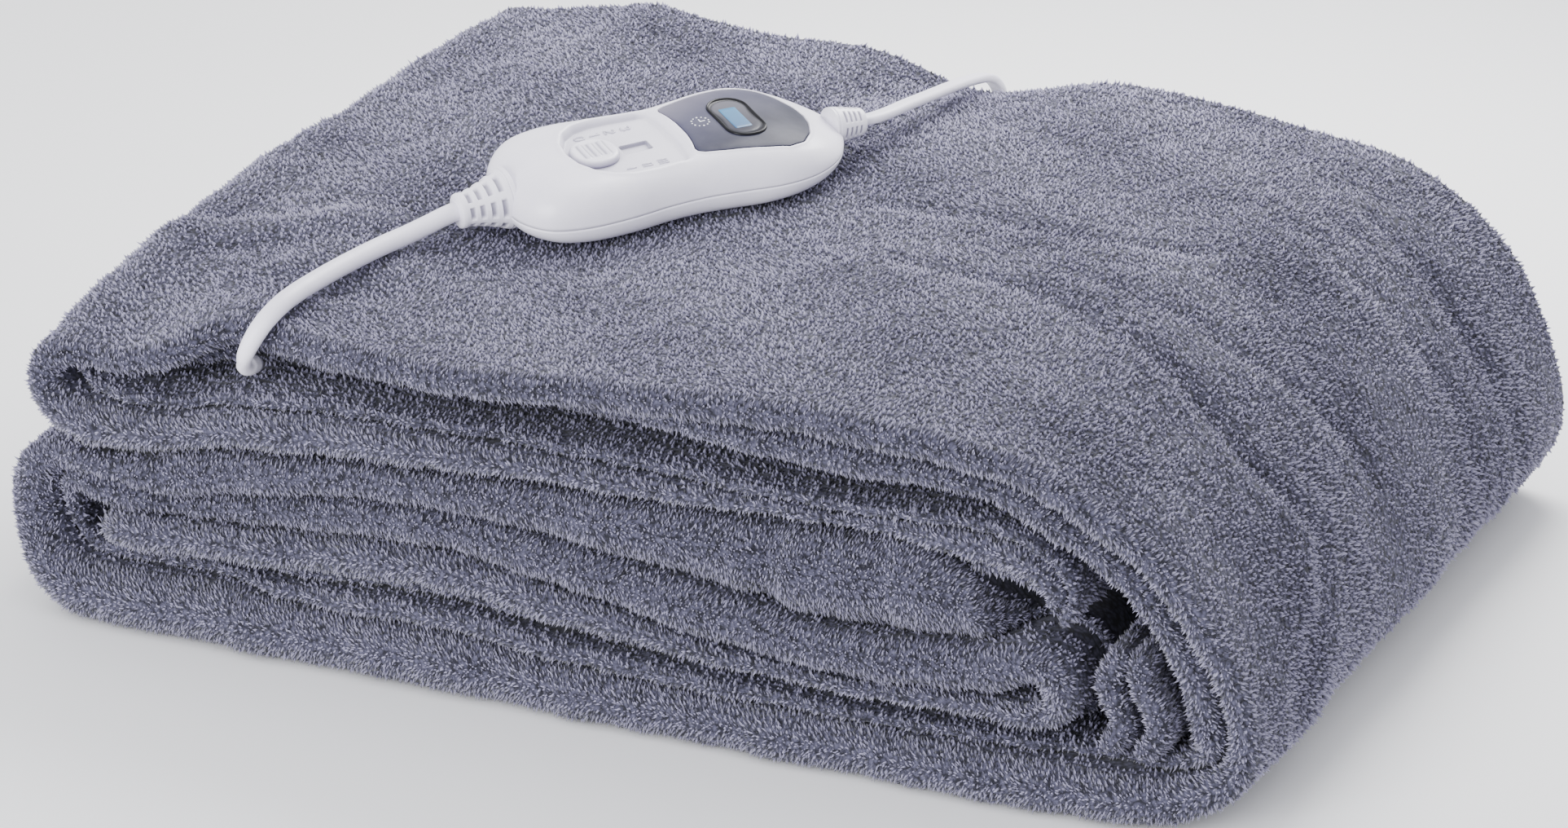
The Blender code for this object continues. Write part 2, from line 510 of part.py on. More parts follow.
def coil_tie():
    """A band round one side of the coil."""
    x, y, z = COIL_AT[0] - COIL_R, COIL_AT[1], COIL_AT[2]
    points = []
    for end in (-TIE_WIDTH / 2, TIE_WIDTH / 2):
        for clear in (TIE_CLEAR, TIE_CLEAR + TIE_THICK):
            for i in range(TIE_STEPS):
                a = 2 * math.pi * i / TIE_STEPS
                points.append((x + (COIL_HALF + clear) * math.cos(a), y + end,
                               z + (COIL_DEPTH + clear) * math.sin(a)))
    inner_a, outer_a, inner_b, outer_b = (ring * TIE_STEPS for ring in range(4))
    faces = []
    for i in range(TIE_STEPS):
        n = (i + 1) % TIE_STEPS
        faces += [(outer_a + i, outer_a + n, outer_b + n, outer_b + i),
                  (inner_a + i, inner_b + i, inner_b + n, inner_a + n),
                  (inner_a + i, inner_a + n, outer_a + n, outer_a + i),
                  (inner_b + i, outer_b + i, outer_b + n, inner_b + n)]
    return add_mesh("coil_tie", points, faces, material("tie", 0.6))


def main():
    for obj in list(bpy.data.objects):
        bpy.data.objects.remove(obj)
    cloth()
    controller()
    leads()


main()
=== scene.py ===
"""Looks of the folded fleece blanket, its hand controller and its leads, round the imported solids.

Tables are in mm in the stack's own axes: X along the front face, Y away from the viewer, Z up from the floor.
to_world() moves the middle of the stack's footprint to the origin and turns mm into metres.
"""

import math

import bpy
import numpy as np
from mathutils import Matrix


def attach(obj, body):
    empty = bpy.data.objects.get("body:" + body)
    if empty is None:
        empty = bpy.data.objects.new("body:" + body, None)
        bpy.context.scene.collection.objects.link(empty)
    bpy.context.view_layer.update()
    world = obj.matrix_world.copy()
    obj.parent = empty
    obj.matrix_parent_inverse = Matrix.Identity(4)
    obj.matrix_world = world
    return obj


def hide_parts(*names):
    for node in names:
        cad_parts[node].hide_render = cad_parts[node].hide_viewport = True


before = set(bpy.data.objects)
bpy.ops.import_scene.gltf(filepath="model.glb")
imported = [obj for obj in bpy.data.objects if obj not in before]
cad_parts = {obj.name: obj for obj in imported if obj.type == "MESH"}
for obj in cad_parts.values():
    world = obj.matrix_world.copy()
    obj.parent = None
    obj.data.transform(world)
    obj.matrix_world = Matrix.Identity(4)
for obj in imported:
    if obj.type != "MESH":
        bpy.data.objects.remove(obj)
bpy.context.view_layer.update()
BODY, SLIDER = "blanket_and_controller", "slider"
MIDDLE = np.array((2.9, -10.6, 0.0))
CHANCE = np.random.default_rng(7)


def to_world(points):
    """Points in mm from the stack's axes, in metres about the middle of its footprint."""
    return (np.asarray(points, float) - MIDDLE) * 0.001


# ---- camera, floor and light ----------------------------------------------------------------------------
VIEW_AZIMUTH, VIEW_ELEVATION = math.radians(25.2), math.radians(22.0)
VIEW_DISTANCE, VIEW_TARGET, LENS, SENSOR = 2.2, (3.0, -33.0, 60.0), 141.32, 36.0
# Soft round lamps: azimuth and elevation in degrees, distance and size in metres, watts, colour.
LAMPS = {
    "key": (-45, 48, 2.4, 1.5, 6, (1.0, 0.985, 0.97)),
    "front": (-12, 12, 2.4, 1.6, 72, (0.97, 0.98, 1.0)),
    "back": (178, 52, 0.75, 0.5, 8, (1, 1, 1)),
}
LAMP_TARGET = (0, 0, 0.05)
SKY_COLOUR, SKY_STRENGTH = (0.94, 0.95, 1.0, 1), 1.45
FLOOR_HALF = 9  # metres


def facing(azimuth, elevation):
    """Unit vector from the object towards a place at this azimuth and elevation."""
    flat = math.cos(elevation)
    return np.array((math.sin(azimuth) * flat, -math.cos(azimuth) * flat, math.sin(elevation)))


def aimed(place, target):
    """World matrix of a camera or lamp at place that looks at target, with its top up."""
    back = (place - target) / np.linalg.norm(place - target)
    right = np.cross((0, 0, 1), back)
    right /= np.linalg.norm(right)
    matrix = np.eye(4)
    matrix[:3, :3] = np.stack([right, np.cross(back, right), back], axis=1)
    matrix[:3, 3] = place
    return Matrix(matrix.tolist())


def lamp(name, azimuth, elevation, distance, size, watts, colour):
    """A round area lamp that looks at the stack."""
    light = bpy.data.lights.new(name, "AREA")
    light.shape, light.size, light.energy, light.color = "DISK", size, watts, colour
    place = facing(math.radians(azimuth), math.radians(elevation)) * distance
    shown = bpy.data.objects.new(name, light)
    shown.matrix_world = aimed(place, np.array(LAMP_TARGET))
    bpy.context.scene.collection.objects.link(shown)


def studio():
    """The camera at the photograph's angle, a pale floor and three soft lamps under a pale sky."""
    camera = bpy.data.cameras.new("camera")
    camera.sensor_width, camera.lens, camera.clip_start, camera.clip_end = SENSOR, LENS, 0.05, 60
    seat = bpy.data.objects.new("camera", camera)
    target = to_world(VIEW_TARGET)
    seat.matrix_world = aimed(target + facing(VIEW_AZIMUTH, VIEW_ELEVATION) * VIEW_DISTANCE, target)
    bpy.context.scene.collection.objects.link(seat)
    bpy.context.scene.camera = seat
    corners = np.array([(-1, -1, 0), (1, -1, 0), (1, 1, 0), (-1, 1, 0)], float) * FLOOR_HALF
    floor = new_piece("floor", corners, [np.array([[0, 1, 2, 3]])], floor_finish(), body=None)
    for name, settings in LAMPS.items():
        lamp(name, *settings)
    world = bpy.data.worlds.new("sky")
    world.use_nodes = True
    sky = world.node_tree.nodes["Background"].inputs
    sky["Color"].default_value, sky["Strength"].default_value = SKY_COLOUR, SKY_STRENGTH
    bpy.context.scene.world = world


# ---- meshes ---------------------------------------------------------------------------------------------
def grid(rows, cols):
    """Quads of a rows by cols grid of points, wrapped round across its columns."""
    r, c = np.meshgrid(np.arange(rows - 1), np.arange(cols), indexing="ij")
    n = (c + 1) % cols
    return np.stack([r * cols + c, r * cols + n, (r + 1) * cols + n, (r + 1) * cols + c], -1).reshape(-1, 4)


def new_piece(name, points, faces, finish, body=BODY, smooth=True, slot=None, sharp=None):
    """A mesh of these points in metres and arrays of faces, each array with one corner count."""
    loops = np.concatenate([f.ravel() for f in faces]).astype(np.int32)
    counts = np.concatenate([np.full(len(f), f.shape[1]) for f in faces])
    starts = np.concatenate([[0], np.cumsum(counts)[:-1]]).astype(np.int32)
    mesh = bpy.data.meshes.new(name)
    mesh.vertices.add(len(points))
    mesh.vertices.foreach_set("co", np.ascontiguousarray(points, np.float32).ravel())
    mesh.loops.add(len(loops))
    mesh.loops.foreach_set("vertex_index", loops)
    mesh.polygons.add(len(starts))
    mesh.polygons.foreach_set("loop_start", starts)
    mesh.update(calc_edges=True)
    mesh.polygons.foreach_set("use_smooth", np.full(len(starts), smooth))
    if sharp is not None:
        mesh.set_sharp_from_angle(angle=math.radians(sharp))
    mesh.materials.append(finish)
    piece = bpy.data.objects.new(name, mesh)
    bpy.context.scene.collection.objects.link(piece)
    if body:
        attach(piece, body)
    return piece


def marked(piece, name, values):
    """Gives each point of a piece a number, under this name, for its finish to read."""
    mark = piece.data.attributes.new(name, "FLOAT", "POINT")
    mark.data.foreach_set("value", np.ascontiguousarray(values, np.float32).ravel())


def unit(vectors):
    """Vectors over their own length."""
    return vectors / (np.linalg.norm(vectors, axis=-1, keepdims=True) + 1e-9)


def circle(count, start=0.0):
    """Even angles once round, from start."""
    return np.linspace(start, start + 2 * math.pi, count, endpoint=False)


def round_box(angle, power):
    """Cosine and sine at each angle, raised to a power with their signs: a circle pressed towards a box."""
    wave = np.stack([np.cos(angle), np.sin(angle)], 1)
    return np.sign(wave) * np.abs(wave) ** power


def ease(value, low, high):
    """0 below low, 1 above high, and a smooth S between."""
    u = np.clip((value - low) / (high - low), 0, 1)
    return u * u * (3 - 2 * u)


def lathe(rings):
    """Points and faces of a closed solid through rings of points, from one pole to the other."""
    rings = np.asarray(rings, float)
    rows, cols = rings.shape[:2]
    caps = [np.arange(cols)[None, ::-1], (np.arange(cols) + (rows - 1) * cols)[None, :]]
    return rings.reshape(-1, 3), [grid(rows, cols), *caps]


def joined(shapes):
    """Points and faces of several closed solids as one, each solid given as its rings."""
    points, faces, start = [], [], 0
    for rings in shapes:
        own, around = lathe(rings)
        points.append(own)
        faces += [f + start for f in around]
        start += len(own)
    return np.concatenate(points), faces


def turned_out(points, faces):
    """The same faces, turned over if the volume that they enclose comes out below zero."""
    volume = 0.0
    for f in faces:
        for k in range(1, f.shape[1] - 1):
            normal = np.cross(points[f[:, k]], points[f[:, k + 1]])
            volume += float((points[f[:, 0]] * normal).sum())
    return faces if volume > 0 else [f[:, ::-1] for f in faces]


def solid(name, rings, finish, **more):
    """A closed piece through rings of points in mm."""
    points, faces = lathe(rings)
    return new_piece(name, to_world(points), turned_out(points, faces), finish, **more)


def hermite(a, b, slope_a, slope_b, h, u):
    """The cubic from a to b over a step h, with these slopes at its ends, at the share u of the way."""
    return (a * (1 + 2 * u) * (1 - u) ** 2 + slope_a * h * u * (1 - u) ** 2
            + b * u * u * (3 - 2 * u) - slope_b * h * u * u * (1 - u))


def smooth_table(at, table, wanted):
    """A smooth curve through the rows of a table at places at, read off at the wanted places.

    Its pieces are Hermite cubics, with the table's central differences as their slopes.
    """
    at, table = np.asarray(at, float), np.asarray(table, float)
    slope = np.gradient(table, at, axis=0)
    i = np.clip(np.searchsorted(at, wanted, side="right") - 1, 0, len(at) - 2)
    h = at[i + 1] - at[i]
    u = np.clip((wanted - at[i]) / h, 0, 1)
    shape = (-1,) + (1,) * (table.ndim - 1)
    h, u = h.reshape(shape), u.reshape(shape)
    return hermite(table[i], table[i + 1], slope[i], slope[i + 1], h, u)


# ---- the cloth ------------------------------------------------------------------------------------------
FRONT_Y, BACK_Y = -187.0, 166.0  # the front face and the back of the stack
CLOTH_MAX = 8.0  # thickest the cloth gets, pile and wadding together
PLY_GAP, LAYER_GAP = 1.0, 2.0  # between two plies that lie together, and between two turns of the stack
# Heights of the seams between the plies at the front face, at each x of SEAM_X.
SEAM_X = (-194, -158, -142, -123, -60, -5, 40, 90, 138)
SEAMS = {
    "top": (106, 115, 121, 122, 124, 128, 131, 133, 130),
    "top_fold": (95, 103, 109, 109, 111, 115, 118, 120, 117),
    "second": (90, 95, 99, 100, 102, 104, 110, 107, 108),
    "inner_top": (89, 90, 94, 97, 100, 100, 99, 98, 100),
    "inner_fold": (84, 85, 89, 92, 95, 95, 94, 93.2, 95.2),
    "crease": (67, 72, 76, 78, 83, 86, 86, 88, 84),
    "ring": (58, 54, 58, 62, 69, 65, 59, 53, 57),
    "ring_in": (44, 46, 47, 49, 53, 46, 39, 35.5, 38),
    "tongue": (32, 33, 34, 34, 37, 33, 31, 29, 28.5),
    "tongue_low": (27, 28, 29, 29, 32, 28, 26, 24, 23),
    "low_fold": (22, 23, 24, 22, 24, 20, 19, 18.5, 18),
    "floor": (-1,) * 9,
}
# Turns between the straight runs: x, z, thickness outside, thickness inside, setback outside, setback inside.
INNER_END = ((170, 69, 7, 4.6, 8, 6), (173.5, 76, 10, 4.6, 5, 6), (172, 84, 11, 4.6, 4, 6),
             (165.5, 90.5, 11.5, 4.6, 4, 6), (154, 94.4, 11.5, 4.6, 4, 6))
UPPER_TURN = ((-203, 84.5, 16, 4.6, 0, 14), (-207.2, 87, 15, 4.6, 0, 14), (-208.4, 90, 14, 4.6, 0, 14),
              (-206.8, 93, 13, 4.6, 0, 14), (-202.5, 94.9, 12, 4.6, 0, 14))
BIG_TURN = ((152, 115.5, 13, 10.5, 1, 4), (166, 111, 13, 11.5, 1, 4), (179, 104, 13, 12, 1, 4),
            (192, 95.5, 13, 12, 1, 4), (204, 84.5, 13, 12, 1, 4), (213.5, 72, 13, 12, 1, 3),
            (220, 60, 13, 12, 1, 3), (225, 48, 13, 14, 1, 2), (228, 37, 13, 15, 1, 2),
            (226.5, 27, 13.5, 12, 1, 4), (214.5, 20, 16, 8, 0, 9), (192, 18.5, 18.5, 5, 0, 14),
            (165, 18.3, 19.3, 4.6, 0, 14))
LOWER_TURN = ((-202, 22.8, 23.8, 4.6, 0, 14), (-208.5, 26, 22.6, 5, 1, 14), (-213, 32, 20.5, 6.5, 2, 12),
              (-214.5, 40, 20.5, 7.5, 3, 9), (-213, 48.5, 18.5, 9, 2, 7), (-209, 54.5, 14, 11, 1, 5),
              (-201.5, 57.8, 10.5, 12, 0, 4))
RIGHT_TURN = ((149, 58.5, 17, 18, 5, 0), (155, 60.2, 5.5, 17, 24, 0), (166, 60.6, 4.6, 15.2, 28, 0),
              (175, 56, 4.6, 14.5, 28, 0), (179, 48, 4.6, 14.5, 28, 0), (179, 40, 4.6, 14.5, 28, 1),
              (174, 32.5, 4.6, 13, 28, 3), (165, 28.8, 4.8, 11, 24, 5), (153, 28.4, 5, 9.6, 20, 5))
TONGUE_END = ((-190, 33, 6, 10.5, 12, 3), (-194.5, 33.5, 5, 8, 13, 7))
# How far the front folds of each straight run lie back, outside and inside, at each x of SEAM_X.
SETBACK = {
    "inner": ((0, 0, 0, 0, 0, 1, 3, 6, 5), (10, 10, 10, 9, 9, 9, 8, 7, 7)),
    "upper": ((2, 3, 14, 13, 1, 0, 0, 0, 0), (20, 24, 30, 28, 26, 22, 5, 2, 3)),
    "bottom": ((0,) * 9, (14, 14, 12, 7, 3, 3, 4, 7, 10)),
    "lower": ((0, 0, 0, 0, 0, 0, 2, 1, 1), (4, 5, 5, 3, 2, 2, 1, 0, 0)),
    "tongue": ((12, 12, 12, 12, 12, 12, 12, 14, 18), (3, 1, 1, 2, 3, 3, 3, 4, 5)),
}
# Height of the stack against the height at the front face.
RISE_X = (-220, -190, -150, -100, -50, -5, 50, 100, 150, 200, 240)
RISE_Y = (-187, -150, -110, -60, 0, 60, 120, 160)
RISE = (
    (1.00, 1.00, 1.00, 1.00, 1.00, 1.00, 1.00, 1.00, 1.00, 1.00, 1.00),
    (1.06, 1.06, 1.03, 1.00, 1.00, 1.00, 1.01, 1.00, 1.00, 1.00, 1.00),
    (1.14, 1.14, 1.07, 1.01, 1.00, 1.01, 1.02, 1.01, 1.01, 1.01, 1.01),
    (1.17, 1.17, 1.09, 1.02, 0.992, 1.00, 1.02, 1.02, 1.02, 1.01, 1.01),
    (1.18, 1.19, 1.12, 1.07, 1.03, 1.01, 1.02, 1.02, 1.02, 1.01, 1.01),
    (1.18, 1.20, 1.14, 1.10, 1.07, 1.05, 1.035, 1.02, 1.02, 1.01, 1.01),
    (1.18, 1.21, 1.14, 1.08, 1.06, 1.012, 1.02, 1.01, 0.995, 1.00, 1.02),
    (1.18, 1.22, 1.15, 1.08, 1.065, 0.955, 1.01, 0.985, 0.965, 1.00, 1.02),
)
CORNER_X, CORNER_R, CORNER_IN = 165.0, 65.0, 9.0  # where the corners draw in, over what length, how far
BACK_TAPER = 5.0  # how far the right end leans in towards the back
NOSE_REACH = 0.85  # a front fold's reach over its half height
HEM_IN, HEM_REACH = 6, 3  # the hems' place before the back, and their roundness
ROW_STEP = 4.6  # pitch of the sheet's rows along the path
# Points across the outer side, round a front fold, across a hidden side, round a fold's inside, round the
# back fold, and round a hem.
TOP_STEPS, NOSE_STEPS, RUN_STEPS, NOSE_IN_STEPS, BACK_STEPS, HEM_STEPS = 70, 20, 6, 6, 9, 3
# Zones of the section: hidden sides, the outer side, the outer front fold, the sides between plies, the inner
# front fold, the inner side, and the back fold with the hems.
HIDDEN, OUTER, FOLD_OUT, BETWEEN, FOLD_IN, INNER, BACK = range(7)
FOLDS = (FOLD_OUT, FOLD_IN)
# Parts of the path, by their numbers in fold_path(): the top's, and those whose outer or inner side shows.
TOP_PARTS, OUTER_PARTS, INNER_PARTS = (2, 3, 4), (2, 3, 4, 6), (0, 1, 4, 6, 8)


def stack_rise(x, y):
    """Height of the stack at (x, y) over its height at the front face: RISE, smoothly in Y and then in X."""
    at_y = smooth_table(RISE_Y, RISE, y.ravel())
    slope = np.gradient(at_y, RISE_X, axis=1)
    flat_x, xs = x.ravel(), np.array(RISE_X, float)
    i = np.clip(np.searchsorted(xs, flat_x, side="right") - 1, 0, len(xs) - 2)
    n, h = np.arange(len(flat_x)), xs[i + 1] - xs[i]
    u = np.clip((flat_x - xs[i]) / h, 0, 1)
    return hermite(at_y[n, i], at_y[n, i + 1], slope[n, i], slope[n, i + 1], h, u).reshape(x.shape)


def straight_run(middle, above, below, setback, outside_up, leftward):
    """Rows of one straight run of the stack between two seams."""
    z, up, low = (np.array(SEAMS[k], float) for k in (middle, above, below))
    out, ins = (up - z, z - low) if outside_up else (z - low, up - z)
    rows = np.stack([SEAM_X, z, out, ins, *SETBACK[setback]], axis=1)
    return rows[::-1] if leftward else rows


def fold_path():
    """The whole path of the sheet's section, read off smoothly every ROW_STEP or so, and each row's part.

    Parts: 0 inner end, 1 inner run, 2 upper turn, 3 top run, 4 big turn, 5 lowest run, 6 lower turn, 7 run of
    the ring, 8 right turn, 9 run of the tongue, 10 its end.
    """
    parts = [
        INNER_END,
        straight_run("inner_fold", "inner_top", "crease", "inner", False, True),
        UPPER_TURN,
        straight_run("top_fold", "top", "second", "upper", True, False),
        BIG_TURN,
        straight_run("low_fold", "tongue_low", "floor", "bottom", False, True),
        LOWER_TURN,
        straight_run("ring", "crease", "ring_in", "lower", True, False),
        RIGHT_TURN,
        straight_run("tongue", "ring_in", "tongue_low", "tongue", False, True)[:-1],
        TONGUE_END,
    ]
    rows = np.concatenate(parts)
    part = np.repeat(np.arange(len(parts)), [len(rows_in) for rows_in in parts])
    step = np.linalg.norm(np.diff(rows[:, :2], axis=0), axis=1)
    along = np.concatenate([[0], np.cumsum(step)])
    share = np.maximum(2, np.ceil(step / ROW_STEP)).astype(int)
    at = [a + far * np.arange(n) / n for a, far, n in zip(along[:-1], step, share)]
    at = np.concatenate([*at, along[-1:]])
    return at, smooth_table(along, rows, at), np.append(np.repeat(part[:-1], share), part[-1])


def cloth_section(rows):
    """Rows of the sheet's section across Y: (y, w) with w along the path's outward normal, and zone numbers.

    Each of the four plies has a straight upper and lower side. Half ellipses join them at the two folds of
    the front face, at the fold of the back, and at the hems.
    """
    x, out, ins, set_out, set_in = (rows[:, k, None] for k in (0, 2, 3, 4, 5))
    corner = CORNER_IN * np.clip((np.abs(x + 5) - CORNER_X) / CORNER_R, 0, 1) ** 2
    half = PLY_GAP / 2
    out, ins = out - LAYER_GAP / 2, ins - LAYER_GAP / 2
    t_out = np.minimum(CLOTH_MAX, (out - half - PLY_GAP) / 2)
    t_ins = np.minimum(CLOTH_MAX, (ins - half - PLY_GAP) / 2)
    r_out, r_ins = (out - half - t_out) / 2, (ins - half - t_ins) / 2
    y_out = FRONT_Y + corner + set_out + r_out * NOSE_REACH + t_out / 2
    y_ins = FRONT_Y + corner + set_in + r_ins * NOSE_REACH + t_ins / 2
    y_back = BACK_Y - corner - half - (t_out + t_ins) / 4 - np.maximum(t_out, t_ins) / 2
    hem = BACK_Y - corner - HEM_IN
    mid = (out - t_out / 2, half + t_out / 2, -half - t_ins / 2, -ins + t_ins / 2)
    thick = (t_out, t_out, t_ins, t_ins)
    ys, ws, zones = [], [], []

    def lay(y, w, zone):
        y, w = np.broadcast_arrays(y, w)
        ys.append(y)
        ws.append(w)
        zones.append(np.full(y.shape[1], zone))

    def straight(ply, side, y0, y1, steps, zone, bias=1.0):  # one side of a ply
        share = np.linspace(0, 1, steps)[None, :] ** bias
        lay(y0 + (y1 - y0) * share, mid[ply] + side * thick[ply] / 2, zone)

    def nose(y, centre, r_y, r_w, front, steps, zone, sweep=1):  # half an ellipse round a fold or a hem
        a = np.linspace(0, math.pi, steps + 2)[None, 1:-1]
        lay(y - front * r_y * np.sin(a), centre + sweep * r_w * np.cos(a), zone)

    mid_out, mid_ins = (mid[0] + mid[1]) / 2, (mid[2] + mid[3]) / 2
    reach_out, reach_ins = r_out * NOSE_REACH, r_ins * NOSE_REACH
    least_out, least_ins = np.maximum(reach_out - t_out / 2, 0.2), np.maximum(reach_ins - t_ins / 2, 0.2)
    back_up = (mid[1] + t_out / 2 - mid[2] + t_ins / 2) / 2
    back_middle = (mid[1] + mid[2]) / 2 + (t_out - t_ins) / 4
    straight(0, 1, hem, y_out, TOP_STEPS, OUTER)
    nose(y_out, mid_out, reach_out + t_out / 2, r_out + t_out / 2, 1, NOSE_STEPS, FOLD_OUT)
    straight(1, -1, y_out, y_back, RUN_STEPS, BETWEEN, 2.0)
    nose(y_back, 0, half * 0.5, half, -1, HEM_STEPS, HIDDEN)
    straight(2, 1, y_back, y_ins, RUN_STEPS, BETWEEN, 0.5)
    nose(y_ins, mid_ins, reach_ins + t_ins / 2, r_ins + t_ins / 2, 1, NOSE_STEPS, FOLD_IN)
    straight(3, -1, y_ins, hem, RUN_STEPS + 4, INNER, 1.6)
    nose(hem, mid[3], HEM_REACH, t_ins / 2, -1, HEM_STEPS, BACK, -1)
    straight(3, 1, hem, y_ins, RUN_STEPS, HIDDEN, 0.5)
    nose(y_ins, mid_ins, least_ins, r_ins - t_ins / 2, 1, NOSE_IN_STEPS, HIDDEN, -1)
    straight(2, -1, y_ins, y_back, RUN_STEPS, HIDDEN, 2.0)
    nose(y_back, back_middle, half * 0.5 + (t_out + t_ins) / 2, back_up, -1, BACK_STEPS, BACK, -1)
    straight(1, 1, y_back, y_out, RUN_STEPS, HIDDEN, 0.5)
    nose(y_out, mid_out, least_out, r_out - t_out / 2, 1, NOSE_IN_STEPS, HIDDEN, -1)
    straight(0, -1, y_out, hem, RUN_STEPS, HIDDEN, 2.0)
    nose(hem, mid[0], HEM_REACH, t_out / 2, -1, HEM_STEPS, BACK, -1)
    return np.concatenate(ys, axis=1), np.concatenate(ws, axis=1), np.concatenate(zones)


# Soft creases of the top and of the big turn: depth (less than zero a ridge), half width, and the line that
# each follows as (distance along the path, y).
CREASES = (
    (1.5, 5.0, ((640, 6), (665, 2), (697, -3), (728, -4), (761, 7))),
    (1.9, 5.5, ((672, -50), (688, -53), (728, -58), (772, -77), (806, -91), (822, -95), (850, -84),
                (872, -102), (883, -139))),
    (1.3, 5.0, ((728, -36), (741, -38), (787, -47), (830, -32), (850, -28))),
    (1.5, 6.0, ((790, 98), (806, 95), (838, 88), (876, 95), (900, 104))),
    (1.1, 7.0, ((760, 60), (800, 52), (840, 50), (880, 58))),
    (-2.2, 9.0, ((415, -98), (428, -96), (461, -89), (481, -77))),
    (2.0, 10.0, ((470, -140), (489, -135), (505, -128))),
    (1.6, 12.0, ((560, 40), (575, 90), (600, 150))),
)
# Low waves of the top: height, length, lean in radians, start.
WAVES = ((1.1, 96, 0.6, 0.3), (0.8, 61, -1.1, 1.9), (0.6, 37, 0.4, 4.0), (0.45, 27, 2.0, 2.2),
         (0.3, 17, -0.5, 5.1))
# Wandering grooves of a front fold: place round it from 0 to 1, wander, length of the wander, start.
GROOVES = ((0.3, 0.09, 61, 1), (0.56, 0.1, 83, 2), (0.8, 0.06, 47, 3))
GROOVE_DEEP, GROOVE_HALF = 0.95, 0.05
# Uneven setbacks of the front folds: column of the path's rows, height, length, start.
UNEVEN = ((4, 1.6, 67, 0.4), (4, 0.7, 21, 1.7), (5, 1.6, 59, 2.6), (5, 0.7, 19, 0.9))
RING_CREASE, RING_CREASE_DEEP = 1640.0, 3.2  # along the path, where the ring's pillow begins


def line_distance(s, y, line):
    """Distance of each (s, y) from a line of points."""
    at, line = np.stack([np.ravel(s), np.ravel(y)], 1), np.array(line, float)
    a, way = line[:-1], np.diff(line, axis=0)
    share = np.clip(((at[:, None] - a) * way).sum(-1) / (way * way).sum(-1), 0, 1)
    return np.linalg.norm(at[:, None] - a - share[..., None] * way, axis=-1).min(1).reshape(np.shape(s))


def top_relief(s, y):
    """How far the top stands out: low waves, less a soft trough at each crease.

    A trough is exp(-(distance / width)^2), with a low shoulder beside it. All of it fades towards the edges.
    """
    out = sum(high * np.sin(2 * math.pi * (y * math.cos(lean) + s * math.sin(lean)) / wide + shift)
              for high, wide, lean, shift in WAVES) * 0.45
    for depth, width, line in CREASES:
        far = line_distance(s, y, line) / width
        out = out - depth * (np.exp(-(far**2)) - 0.35 * np.exp(-((far - 1.7) ** 2) * 2.2))
    return out * ease(y, FRONT_Y + 8, FRONT_Y + 30) * ease(-y, -BACK_Y + 4, -BACK_Y + 16)


def slow(s, wide, seed):
    """A slow wave along the path between -1 and 1: three sines of unlike lengths about wide mm."""
    return (np.sin(s * 6.28 / wide + seed) + 0.7 * np.sin(s * 6.28 / (wide * 0.61) + 2.3 * seed)
            + 0.5 * np.sin(s * 6.28 / (wide * 0.37) + 4.1 * seed)) / 2.2


def fold_relief(s, f, zone):
    """How far the skin of a front fold stands out, f from 0 to 1 round it: soft grooves that wander along it.

    A groove is exp(-(distance / GROOVE_HALF)^2). One upright crease of this kind crosses the outer fold.
    """
    out = 0.25 * slow(s, 23, zone + 0.5)
    if zone == FOLD_OUT:
        far = s - RING_CREASE
        out = out - RING_CREASE_DEEP * np.exp(-((far / 3.5) ** 2))
        out = out + 1.3 * np.exp(-(((np.abs(far) - 10) / 7) ** 2))
    for middle, wander, wide, seed in GROOVES:
        line = middle + wander * slow(s, wide, seed + zone)
        deep = GROOVE_DEEP * np.exp(-(((f - line) / GROOVE_HALF) ** 2))
        out = out - deep * (0.6 + 0.4 * slow(s, 71, seed * zone))
    return out * np.sin(math.pi * f)


def grid_normals(points):
    """Unit normals of a grid of points that is wrapped round across its columns."""
    return unit(np.cross(np.roll(points, -1, 1) - np.roll(points, 1, 1), np.gradient(points, axis=0)))


def cloth_surface():
    """Points of the sheet in mm as rows along the path by columns round the section, with what places them.

    The section (y, w) is carried along the path (x, z), w along its normal, and stack_rise lifts it.
    """
    along, rows, part = fold_path()
    for column, high, wide, seed in UNEVEN:
        rows[:, column] += high * slow(along, wide, seed)
    y, w, zone = cloth_section(rows)
    on_top = (zone == OUTER)[None, :] & np.isin(part, TOP_PARTS)[:, None]
    w = w + np.where(on_top, top_relief(np.broadcast_to(along[:, None], y.shape), y), 0)
    tangent = np.gradient(rows[:, :2], along, axis=0)
    tangent /= np.linalg.norm(tangent, axis=1)[:, None]
    x = rows[:, :1] - tangent[:, 1:] * w
    z = rows[:, 1:2] + tangent[:, :1] * w
    z = np.maximum(z, 0) * stack_rise(x, y)
    x = x - BACK_TAPER * (y - FRONT_Y) / (BACK_Y - FRONT_Y) * np.clip(x / 200, 0, 1)
    points = np.stack([x, y, z], axis=-1)
    outward = grid_normals(points)
    for number in FOLDS:
        at = np.nonzero(zone == number)[0]
        f = (np.arange(len(at)) + 0.5) / len(at)
        points[:, at] += outward[:, at] * fold_relief(along[:, None], f[None, :], number)[..., None]
    points[..., 2] = np.maximum(points[..., 2], 0)
    return along, part, points, zone, outward


PILE_PIECE = 48000  # tufts to a piece
PILE_INSET = 0.8  # the cloth's ground lies this far under its solid's surface, and the tufts stand out of it
# Cloth to a tuft in mm2: on the front folds, the outer side, the back, beside a fold, and an open inner side.
FOLD_AREA, OUTER_AREA, BACK_AREA, BESIDE_AREA, OPEN_AREA = 1.22, 2.0, 3.6, 3.6, 3.0
OPEN_DEPTH = 45  # how far behind the front face an open inner side has pile
SPREAD = (0.7548777, 0.5698403)  # steps that spread points evenly over a unit square
